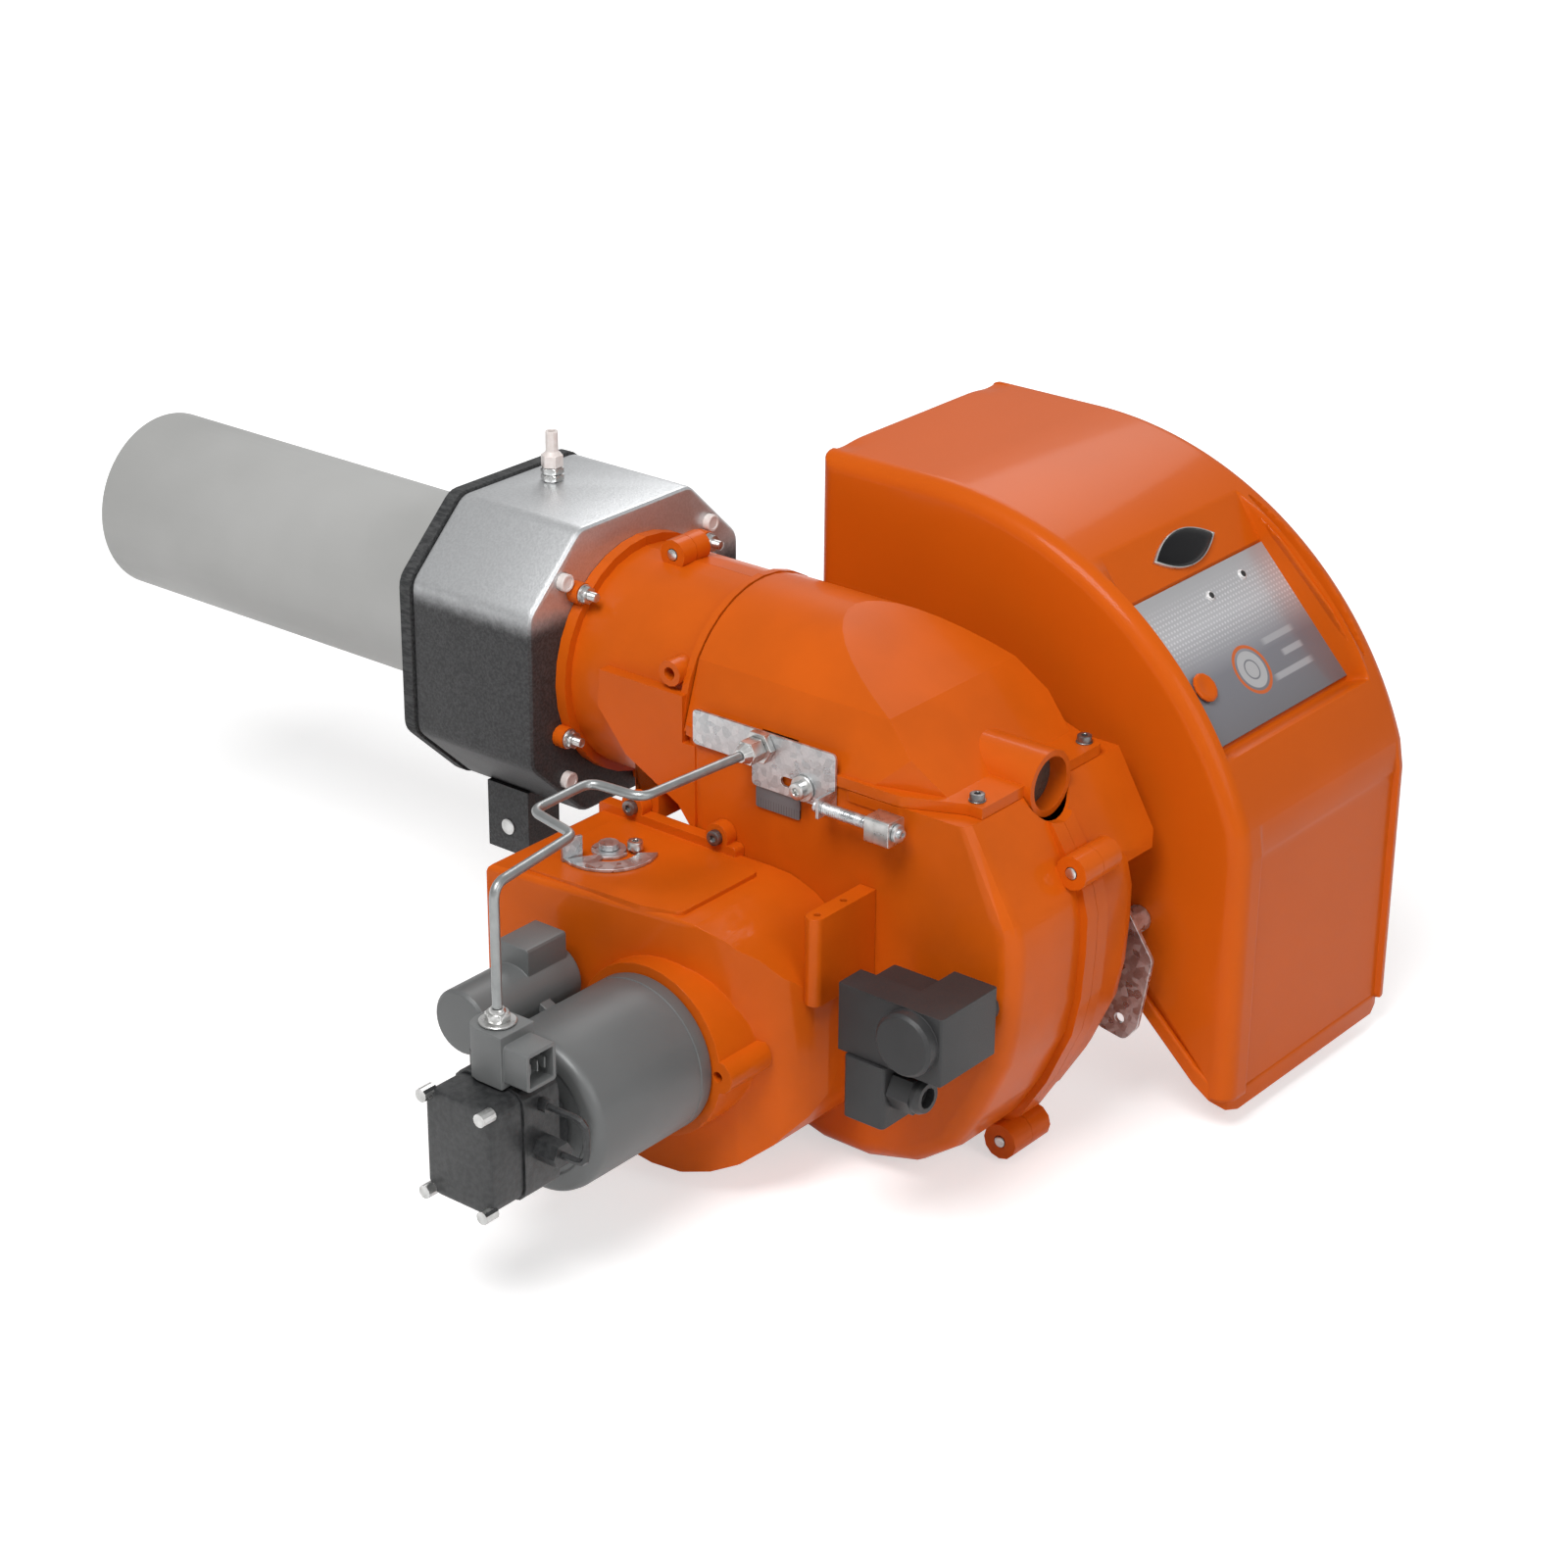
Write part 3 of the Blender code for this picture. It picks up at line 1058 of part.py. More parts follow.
def intake_housing():
    front = RIM_Y + INTAKE_FRONT_AHEAD
    side, plan = intake_form(0)
    reach = CASING_LENGTH
    body = common(prism("X", side, INTAKE_OUTER_X - OVERRUN, SIDE_X - CLEAR),
                  eased("Z", plan, INTAKE_TOP_Z - reach, INTAKE_TOP_Z, INTAKE_EDGE_R))
    ear = EAR_R
    seat = SIDE_X - CLEAR
    flange = box_outline(front - INTAKE_FLANGE_LENGTH, front, INTAKE_TOP_Z - INTAKE_BOX_H, INTAKE_TOP_Z + EAR_RISE)
    parts = [prism("X", rounded(flange, EAR_RISE / 2), seat - EAR_T, seat)]
    parts.append(many("X", [circle(ear, SMALL_STEPS, place) for place in ear_places()], seat - EAR_T, seat))
    panel = [(PANEL_SHARES[k][0] * INTAKE_OUTER_X, front - PANEL_SHARES[k][1] * INTAKE_REACH)
             for k in range(len(PANEL_SHARES))]
    parts.append(prism("Z", rounded(panel, EAR_RISE), INTAKE_TOP_Z - OVERRUN, INTAKE_TOP_Z + PANEL_RISE))
    parts.append(pin("X", (FAN_Y, FAN_Z), COLLAR_R, COLLAR_X, COLLAR_X * COLLAR_INNER_SHARE, ROUND_STEPS))
    offset = COLLAR_LUG_OFFSET
    parts.append(many("X", [circle(COLLAR_LUG_R, SMALL_STEPS, (FAN_Y + i * offset, FAN_Z)) for i in (-1, 1)],
                      COLLAR_X, COLLAR_X * COLLAR_INNER_SHARE))
    pad_y = RIM_Y - PAD_BACK
    pad = [(seat, pad_y + PAD_T / 2), (seat - PAD_REACH, pad_y + PAD_T / 2), (seat - PAD_REACH, pad_y - PAD_T / 2),
           (seat, pad_y - PAD_T / 2)]
    pad = rounded(pad, [0, PAD_T * SIDE_SHARE, PAD_T * SIDE_SHARE, 0])
    parts.append(prism("Z", pad, PAD_TOP_Z - PAD_DEPTH, PAD_TOP_Z))
    fuse(body, *parts)
    side, plan = intake_form(INTAKE_WALL)
    plan = [(SIDE_X + OVERRUN, v[1]) if k in (0, len(plan) - 1) else v for k, v in enumerate(plan)]
    room = common(prism("X", side, INTAKE_OUTER_X, SIDE_X + OVERRUN),
                  prism("Z", plan, INTAKE_TOP_Z - reach, INTAKE_TOP_Z - INTAKE_WALL))
    carve(body, room)
    mouth = box_outline(MOUTH_LEFT_X, MOUTH_RIGHT_X, INTAKE_TOP_Z - INTAKE_BOX_H + INTAKE_WALL,
                        INTAKE_TOP_Z - INTAKE_WALL)
    carve(body, prism("Y", mouth, front - INTAKE_WALL * 2, front + OVERRUN))
    carve(body, pin("X", (FAN_Y, FAN_Z), SHAFT_R * 2, COLLAR_X - OVERRUN, COLLAR_X * COLLAR_INNER_SHARE + OVERRUN,
                    SMALL_STEPS))
    carve(body, many("X", [circle(COLLAR_SCREW_R, SMALL_STEPS, (FAN_Y + i * offset, FAN_Z)) for i in (-1, 1)],
                     COLLAR_X - OVERRUN, COLLAR_X + PAD_T))
    carve(body, pin("Z", (DAMPER_X, DAMPER_Y), DAMPER_SHAFT_R + CLEAR, INTAKE_TOP_Z - INTAKE_WALL * 2,
                    INTAKE_TOP_Z + OVERRUN))
    screw_x, screw_y = clamp_place()
    carve(body, pin("Z", (screw_x, screw_y), CLAMP_SCREW_R + CLEAR, INTAKE_TOP_Z - INTAKE_WALL * 2,
                    INTAKE_TOP_Z + OVERRUN))
    holes = [circle(PAD_HOLE_R, SMALL_STEPS, (seat - share * PAD_REACH, pad_y)) for share in PAD_HOLE_SHARES]
    carve(body, many("Z", holes, PAD_TOP_Z - PAD_HOLE_DEPTH, PAD_TOP_Z + OVERRUN))
    holes = [circle(INTAKE_SCREW_R + CLEAR, SMALL_STEPS, place) for place in ear_places()]
    carve(body, many("X", holes, seat - EAR_T - OVERRUN, seat + OVERRUN))
    finish(body, "intake_housing", "orange", (SIDE_X, FAN_Y, FAN_Z))
    for k, place in enumerate(ear_places()):
        face = seat - EAR_T - CLEAR
        screw = turned("X", place, [(INTAKE_SCREW_R, SIDE_X + INTAKE_SCREW_DEPTH), (INTAKE_SCREW_R, face),
                                    (INTAKE_HEAD_R, face), (INTAKE_HEAD_R, face - INTAKE_SCREW_HEAD_T)], SMALL_STEPS)
        finish(screw, f"intake_screw_{k + 1}", "steel", (face, *place))


def clamp_place():
    angle = radians(LEVER_SCREW_ANGLE)
    return DAMPER_X + LEVER_SLOT_R * cos(angle), DAMPER_Y + LEVER_SLOT_R * sin(angle)


def damper():
    centre = (DAMPER_X, DAMPER_Y)
    low = INTAKE_TOP_Z + PANEL_RISE + CLEAR
    plate = arc(LEVER_R, centre, LEVER_LEFT_ANGLE, 360 + LEVER_RIGHT_ANGLE, LEVER_STEPS)
    plate += arc(LEVER_HUB_R, centre, LEVER_RIGHT_ANGLE + LEVER_HUB_TURN, LEVER_LEFT_ANGLE - LEVER_HUB_TURN, LEVER_STEPS)
    lever = prism("Z", plate, low, low + LEVER_T)
    angle = radians(LEVER_LEFT_ANGLE - LEVER_TAB_TURN)
    out = Vector((cos(angle), sin(angle)))
    side = Vector((-out.y, out.x))
    foot = Vector(centre) + out * (LEVER_R - LEVER_TAB_W * 0.9)
    corners = [foot + side * (-LEVER_T), foot + out * LEVER_TAB_W + side * (-LEVER_T), foot + out * LEVER_TAB_W + side * LEVER_T * 0.25,
               foot + side * LEVER_T * 0.25]
    tab = prism("Z", [tuple(p) for p in corners], low, low + LEVER_TAB_H)
    fuse(lever, tab)
    first = 360 + LEVER_SCREW_ANGLE - LEVER_TRAVEL - LEVER_SLOT_SPARE
    last = 360 + LEVER_SCREW_ANGLE + LEVER_SLOT_END
    slot = arc(LEVER_SLOT_R + LEVER_SLOT_HALF, centre, first, last, LEVER_STEPS)
    slot += arc(LEVER_SLOT_R - LEVER_SLOT_HALF, centre, last, first, LEVER_STEPS)
    carve(lever, prism("Z", slot, low - OVERRUN, low + LEVER_T + OVERRUN))
    carve(lever, pin("Z", centre, DAMPER_SHAFT_R + CLEAR, low - OVERRUN, low + LEVER_T + OVERRUN))
    pivot = bpy.data.objects.new("damper_axis", None)
    pivot.location = (DAMPER_X, DAMPER_Y, low)
    bpy.context.scene.collection.objects.link(pivot)
    finish(lever, "damper_lever", "steel", pivot.location, pivot)
    room_top = INTAKE_TOP_Z - INTAKE_WALL - FLAP_MARGIN
    room_low = INTAKE_TOP_Z - INTAKE_BOX_H + INTAKE_WALL + FLAP_MARGIN
    shaft = turned("Z", centre, [(DAMPER_SHAFT_R, room_low), (DAMPER_SHAFT_R, low + LEVER_T + CLEAR),
                                 (DAMPER_HEAD_R, low + LEVER_T + CLEAR),
                                 (DAMPER_HEAD_R, low + LEVER_T + DAMPER_HEAD_T)], SMALL_STEPS)
    blade = prism("Y", box_outline(DAMPER_X - FLAP_W / 2, DAMPER_X + FLAP_W / 2, room_low, room_top),
                  DAMPER_Y - FLAP_T / 2, DAMPER_Y + FLAP_T / 2)
    fuse(shaft, blade)
    finish(shaft, "damper_flap", "steel", pivot.location, pivot)
    screw_x, screw_y = clamp_place()
    head = low + LEVER_T + CLEAR
    screw = turned("Z", (screw_x, screw_y), [(CLAMP_SCREW_R, INTAKE_TOP_Z - INTAKE_WALL), (CLAMP_SCREW_R, head),
                                             (CLAMP_HEAD_R, head), (CLAMP_HEAD_R, head + CLAMP_HEAD_H)], SMALL_STEPS)
    finish(screw, "damper_clamp_screw", "steel", (screw_x, screw_y, head))


def fan_and_motor():
    axis = bpy.data.objects.new("fan_axis", None)
    axis.location = (FAN_OFFSET_X, FAN_Y, FAN_Z)
    bpy.context.scene.collection.objects.link(axis)
    place = (FAN_Y, FAN_Z)
    inlet, back = FAN_OFFSET_X - FAN_WIDTH / 2, FAN_OFFSET_X + FAN_WIDTH / 2
    blades = []
    for k in range(FAN_BLADES):
        turn = 2 * pi * k / FAN_BLADES
        outer, inner = [], []
        for i in range(FAN_BLADE_POINTS):
            share = i / (FAN_BLADE_POINTS - 1)
            radius = FAN_R - FAN_BLADE_DEPTH * share
            angle = turn + FAN_BLADE_SWEEP * share * share
            outer.append((FAN_Y + radius * cos(angle), FAN_Z + radius * sin(angle)))
            wide = angle + FAN_BLADE_T / radius
            inner.append((FAN_Y + radius * cos(wide), FAN_Z + radius * sin(wide)))
        blades.append(outer + inner[::-1])
    wheel = turned("X", place, [(FAN_R, back - FAN_PLATE_T), (FAN_R, back), (FAN_HUB_R, back),
                                (FAN_HUB_R, back + FAN_PLATE_T), (SHAFT_R + CLEAR, back + FAN_PLATE_T),
                                (SHAFT_R + CLEAR, back - FAN_HUB_LENGTH), (FAN_HUB_R, back - FAN_HUB_LENGTH),
                                (FAN_HUB_R, back - FAN_PLATE_T)], hollow=True)
    ring = turned("X", place, [(FAN_R, inlet), (FAN_R, inlet + FAN_RING_T),
                               (FAN_R - FAN_BLADE_DEPTH, inlet + FAN_RING_T), (FAN_R - FAN_BLADE_DEPTH, inlet)],
                  hollow=True)
    vanes = many("X", [inset(blade, 0) for blade in blades], inlet + FAN_RING_T / 2, back - FAN_PLATE_T / 2)
    fuse(wheel, vanes, ring)
    finish(wheel, "fan_impeller", "aluminium", axis.location, axis)
    shaft = turned("X", place, [(SHAFT_R, back + FAN_PLATE_T + RUN_CLEAR), (SHAFT_R, MOTOR_END_X - SHAFT_TAIL)],
                   SMALL_STEPS)
    finish(shaft, "motor_shaft", "steel", axis.location, axis)
    r, step = MOTOR_R, MOTOR_STEP
    inner = SHAFT_R + RUN_CLEAR
    motor = turned("X", place, [(inner, MOTOR_X), (r - step, MOTOR_X), (r, MOTOR_X - step), (r, MOTOR_END_X + step * 2),
                                (r - step * 0.5, MOTOR_END_X + step * 0.5), (r - step * 2, MOTOR_END_X),
                                (inner, MOTOR_END_X)], hollow=True)
    finish(motor, "motor_body", "grey_paint", (MOTOR_X, *place))
    cap = (RIM_Y - CAPACITOR_BEHIND, CAPACITOR_Z)
    start = MOTOR_X - RUN_CLEAR * 2
    end = start - CAPACITOR_LENGTH
    e = CAPACITOR_EDGE
    can = turned("X", cap, [(CAPACITOR_R - e, start), (CAPACITOR_R, start - e), (CAPACITOR_R, end + e),
                            (CAPACITOR_R - e, end)])
    box = prism("X", rounded(box_outline(cap[0] - CAPACITOR_BOX_W / 2, cap[0] + CAPACITOR_BOX_W / 2,
                                         cap[1], cap[1] + CAPACITOR_R + CAPACITOR_BOX_H), e),
                start - CAPACITOR_BOX_START, start - CAPACITOR_BOX_START - CAPACITOR_BOX_LENGTH)
    link = Vector(place) - Vector(cap)
    across = Vector((-link.y, link.x)).normalized() * CLIP_HALF
    near = Vector(cap) + link.normalized() * CAPACITOR_R * 0.8
    far = Vector(place) - link.normalized() * (MOTOR_R + CLEAR)
    clip = prism("X", [tuple(near + across), tuple(near - across), tuple(far - across), tuple(far + across)],
                 start - CLIP_START, start - CLIP_START - CLIP_HALF)
    fuse(can, box, clip)
    finish(can, "motor_capacitor", "grey_paint", (start, *cap))


def pump():
    centre_z = PUMP_TOP_Z - PUMP_HALF_H
    section = box_outline(PUMP_Y - PUMP_HALF_W, PUMP_Y + PUMP_HALF_W, PUMP_TOP_Z - 2 * PUMP_HALF_H, PUMP_TOP_Z)
    section = rounded(section, PUMP_CHAMFER)
    body = prism("X", section, PUMP_BODY_X, PUMP_SEAM_X)
    neck = pin("X", (FAN_Y, FAN_Z), PUMP_NECK_R, MOTOR_END_X - CLEAR, PUMP_BODY_X - OVERRUN, ROUND_STEPS)
    out_z = centre_z + OUTLET_RISE
    out_x = (PUMP_BODY_X + PUMP_SEAM_X) / 2
    side = PUMP_Y - PUMP_HALF_W
    hexed = prism("Y", hexagon(OUTLET_HEX_FLATS, (out_x, out_z)), side + OVERRUN, side - OUTLET_LENGTH)
    top = COIL_X, PUMP_Y
    port = pin("Z", (out_x, PUMP_Y + PUMP_HALF_W - PUMP_PORT_R), PUMP_PORT_R * 0.9, PUMP_TOP_Z - OVERRUN, PUMP_TOP_Z + PUMP_PORT_PROUD)
    route = bent([(out_x, side - OUTLET_LENGTH + OVERRUN, out_z), (out_x, side - BYPASS_REACH, out_z),
                  (out_x, side - BYPASS_REACH, PUMP_TOP_Z + BYPASS_RISE),
                  (out_x, side + OVERRUN, PUMP_TOP_Z + BYPASS_RISE)], PIPE_BEND_R * 0.8)
    elbow = pin("Y", (out_x, PUMP_TOP_Z + BYPASS_RISE), PUMP_PORT_R * 0.7, side + OVERRUN, side - PUMP_PORT_R)
    fuse(body, neck, hexed, elbow, port, swept(route, BYPASS_R, SMALL_STEPS // 2))
    carve(body, pin("X", (FAN_Y, FAN_Z), SHAFT_R + RUN_CLEAR, MOTOR_END_X + OVERRUN,
                    MOTOR_END_X - SHAFT_TAIL - RUN_CLEAR))
    carve(body, pin("Z", top, VALVE_R + CLEAR, PUMP_TOP_Z - VALVE_R, PUMP_TOP_Z + OVERRUN))
    finish(body, "oil_pump_body", "pump_grey", (PUMP_BODY_X, PUMP_Y, centre_z))
    cover = eased("X", inset(section, PUMP_COVER_INSET), PUMP_SEAM_X - CLEAR, PUMP_FRONT_X, PUMP_COVER_INSET * 2)
    spots = [(PUMP_Y + i * (PUMP_HALF_W - PUMP_SCREW_INSET), centre_z + k * (PUMP_HALF_H - PUMP_SCREW_INSET))
             for i in (-1, 1) for k in (-1, 1)]
    heads = many("X", [circle(PUMP_SCREW_R, SMALL_STEPS, spot) for spot in spots], PUMP_FRONT_X + OVERRUN,
                 PUMP_FRONT_X - PUMP_SCREW_HEAD)
    fuse(cover, heads)
    finish(cover, "oil_pump_cover", "pump_grey", (PUMP_SEAM_X, PUMP_Y, centre_z))
    low = PUMP_TOP_Z + CLEAR
    coil = prism("Z", rounded(box_outline(COIL_X - COIL_W / 2, COIL_X + COIL_W / 2, PUMP_Y - COIL_L / 2,
                                          PUMP_Y + COIL_L / 2), [0, 0, COIL_ROUND, COIL_ROUND]), low, low + COIL_H)
    socket_low = low + COIL_ROUND * 0.3
    rear = PUMP_Y - COIL_L / 2
    block = prism("Y", rounded(box_outline(COIL_X - SOCKET_W / 2, COIL_X + SOCKET_W / 2, socket_low,
                                           socket_low + SOCKET_H), SOCKET_EDGE), rear + OVERRUN, rear - SOCKET_L)
    fuse(coil, block)
    opening = box_outline(COIL_X - SOCKET_W / 2 + SOCKET_EDGE, COIL_X + SOCKET_W / 2 - SOCKET_EDGE,
                          socket_low + SOCKET_EDGE, socket_low + SOCKET_H - SOCKET_EDGE)
    carve(coil, prism("Y", opening, rear - SOCKET_L - OVERRUN, rear - SOCKET_L + SOCKET_DEPTH))
    middle = socket_low + SOCKET_H / 2
    blades = [box_outline(COIL_X + i * SOCKET_PIN_PITCH - SOCKET_PIN_T, COIL_X + i * SOCKET_PIN_PITCH + SOCKET_PIN_T,
                          middle - SOCKET_PIN_H, middle + SOCKET_PIN_H) for i in (-1, 0, 1)]
    fuse(coil, many("Y", blades, rear - SOCKET_L + SOCKET_DEPTH + OVERRUN / 2, rear - SOCKET_L + SOCKET_PIN_INSET))
    carve(coil, pin("Z", top, VALVE_R + CLEAR, low - OVERRUN, low + COIL_H + OVERRUN))
    finish(coil, "solenoid_coil", "coil_grey", (COIL_X, PUMP_Y, low))
    head = low + COIL_H + CLEAR
    nut = turned("Z", top, [(VALVE_R, PUMP_TOP_Z - VALVE_R * 0.5), (VALVE_R, head), (COIL_DISC_R, head),
                            (COIL_DISC_R, head + COIL_DISC_T), (VALVE_R, head + COIL_DISC_T)], SMALL_STEPS)
    fuse(nut, prism("Z", hexagon(COIL_NUT_FLATS, top), head + COIL_DISC_T * 0.5, head + COIL_NUT_H))
    finish(nut, "solenoid_nut", "steel", (*top, head))
    return head + COIL_NUT_H


def oil_pipe(start_z):
    high = LINE_Z
    hex_x = fitting_end_x()
    points = [(COIL_X, PUMP_Y, start_z + CLEAR), (COIL_X, PUMP_Y, high)]
    points += [(x, RIM_Y - back, high) for x, back in PIPE_ROUTE]
    points += [(hex_x - CLEAR, LINE_Y, high)]
    finish(swept(bent(points, PIPE_BEND_R), PIPE_R, PIPE_SIDES), "oil_pipe", "steel", points[0])


def fitting_end_x():
    return PLATE_X - CLEAR - LOCKNUT_T - CLEAR - FITTING_LENGTH


def head_parts():
    """The plate and all that it carries; their empty stands where the nozzle line leaves the plate."""
    mover = bpy.data.objects.new("head_axis", None)
    mover.location = (PLATE_X, LINE_Y, LINE_Z)
    bpy.context.scene.collection.objects.link(mover)
    front = RIM_Y - PLATE_FRONT_BACK
    rear = front - PLATE_LENGTH
    step = RIM_Y - PLATE_STEP_BACK
    side = [(front, PLATE_TOP_Z), (front, PLATE_MID_Z), (step, PLATE_MID_Z), (step, PLATE_LOW_Z), (rear, PLATE_LOW_Z),
            (rear, PLATE_TOP_Z)]
    plate = prism("X", rounded(side, PLATE_CORNER_R), PLATE_X, PLATE_X + PLATE_T)
    tab = [(PLATE_X + PLATE_T, rear + PLATE_T), (PLATE_X - TAB_REACH, rear + PLATE_T), (PLATE_X - TAB_REACH, rear),
           (PLATE_X + PLATE_T, rear)]
    fuse(plate, prism("Z", tab, TAB_LOW_Z, PLATE_MID_Z))
    carve(plate, pin("Y", (ROD_X, ROD_Z), ROD_R + CLEAR, rear - OVERRUN, rear + PLATE_T + OVERRUN))
    carve(plate, pin("X", (LINE_Y, LINE_Z), LINE_R + CLEAR, PLATE_X - OVERRUN, PLATE_X + PLATE_T + OVERRUN))
    slot_rear = clamp_y() - CLAMP_SCREW_R - RUN_CLEAR
    slot = rounded(box_outline(slot_rear, clamp_y() + HEAD_TRAVEL + CLAMP_SCREW_R + RUN_CLEAR,
                               PLATE_SLOT_Z - PLATE_SLOT_HALF, PLATE_SLOT_Z + PLATE_SLOT_HALF), PLATE_SLOT_HALF)
    carve(plate, prism("X", slot, PLATE_X - OVERRUN, PLATE_X + PLATE_T + OVERRUN))
    finish(plate, "adjusting_plate", "steel", mover.location, mover)
    inner_x = PLATE_X + PLATE_T
    tip = TUBE_REACH - NOZZLE_TIP_BACK
    base = tip - NOZZLE_LENGTH
    line = swept(bent([(fitting_end_x() + FITTING_LENGTH * 0.5, LINE_Y, LINE_Z), (0, LINE_Y, LINE_Z),
                       (0, base - NOZZLE_BLOCK_LENGTH * 0.5, LINE_Z)], LINE_BEND_R), LINE_R, SMALL_STEPS)
    end = fitting_end_x()
    cone = turned("X", (LINE_Y, LINE_Z), [(FITTING_FLATS * 0.3, end), (FITTING_FLATS * 0.5, end + FITTING_LENGTH * 0.4),
                                          (FITTING_FLATS * 0.5, end + FITTING_LENGTH)], SMALL_STEPS)
    hexed = prism("X", hexagon(FITTING_FLATS, (LINE_Y, LINE_Z)), end + FITTING_LENGTH * 0.35, end + FITTING_LENGTH)
    block = turned("Y", (0, LINE_Z), [(NOZZLE_BLOCK_R, base - NOZZLE_BLOCK_LENGTH), (NOZZLE_BLOCK_R, base - CLEAR)])
    fuse(line, cone, hexed, block)
    finish(line, "nozzle_line", "steel", mover.location, mover)
    lock_end = PLATE_X - CLEAR
    locknut = prism("X", hexagon(LOCKNUT_FLATS, (LINE_Y, LINE_Z)), lock_end - LOCKNUT_T, lock_end)
    carve(locknut, pin("X", (LINE_Y, LINE_Z), LINE_R + CLEAR, lock_end - LOCKNUT_T - OVERRUN, lock_end + OVERRUN))
    finish(locknut, "line_locknut", "steel", mover.location, mover)
    nozzle = turned("Y", (0, LINE_Z), [(NOZZLE_BASE_R, base), (NOZZLE_BASE_R, base + NOZZLE_LENGTH * 0.5),
                                       (NOZZLE_BASE_R * 0.7, base + NOZZLE_LENGTH * 0.6),
                                       (NOZZLE_BASE_R * 0.7, base + NOZZLE_LENGTH * 0.85),
                                       (NOZZLE_BASE_R * 0.3, tip), (NOZZLE_ORIFICE_R, tip),
                                       (NOZZLE_ORIFICE_R, tip - NOZZLE_ORIFICE_R * 4)], SMALL_STEPS)
    finish(nozzle, "oil_nozzle", "brass", mover.location, mover)
    disc_y = base - DISC_HUB_LENGTH * 0.5
    hub_in = NOZZLE_BLOCK_R + CLEAR
    disc = turned("Y", (0, LINE_Z), [(DISC_R, disc_y), (DISC_R, disc_y + DISC_T), (DISC_HUB_R, disc_y + DISC_T),
                                     (hub_in, disc_y + DISC_T), (hub_in, disc_y - DISC_HUB_LENGTH),
                                     (DISC_HUB_R, disc_y - DISC_HUB_LENGTH), (DISC_HUB_R, disc_y)], hollow=True)
    slots = []
    for k in range(DISC_SLOTS):
        angle = 2 * pi * (k + 0.5) / DISC_SLOTS
        out = Vector((cos(angle), sin(angle)))
        side_way = Vector((-out.y, out.x)) * DISC_SLOT_W / 2
        centre = Vector((0, LINE_Z))
        slots.append([tuple(centre + out * DISC_R * a + side_way * b) for a, b in
                      ((DISC_SLOT_SHARES[0], -1), (DISC_SLOT_SHARES[1], -1), (DISC_SLOT_SHARES[1], 1),
                       (DISC_SLOT_SHARES[0], 1))])
    rods = [(i * ELECTRODE_SPACING / 2, LINE_Z + ELECTRODE_RISE) for i in (-1, 1)]
    carve(disc, many("Y", slots, disc_y - OVERRUN / 2, disc_y + OVERRUN),
          many("Y", [circle(INSULATOR_R + CLEAR, SMALL_STEPS, rod) for rod in rods], disc_y - OVERRUN / 2,
               disc_y + OVERRUN))
    finish(disc, "flame_disc", "steel", mover.location, mover)
    for k, rod in enumerate(rods):
        electrode = turned("Y", rod, [(ELECTRODE_R, disc_y - INSULATOR_LENGTH), (ELECTRODE_R, disc_y - INSULATOR_LENGTH * 0.9),
                                      (INSULATOR_R, disc_y - INSULATOR_LENGTH * 0.9), (INSULATOR_R, disc_y + DISC_T * 4),
                                      (ELECTRODE_R, disc_y + DISC_T * 5), (ELECTRODE_R, disc_y + ELECTRODE_REACH)],
                           SMALL_STEPS)
        finish(electrode, f"electrode_{k + 1}", "ceramic", mover.location, mover)
    return inner_x


def clamp_y():
    return RIM_Y - PLATE_CLAMP_BACK


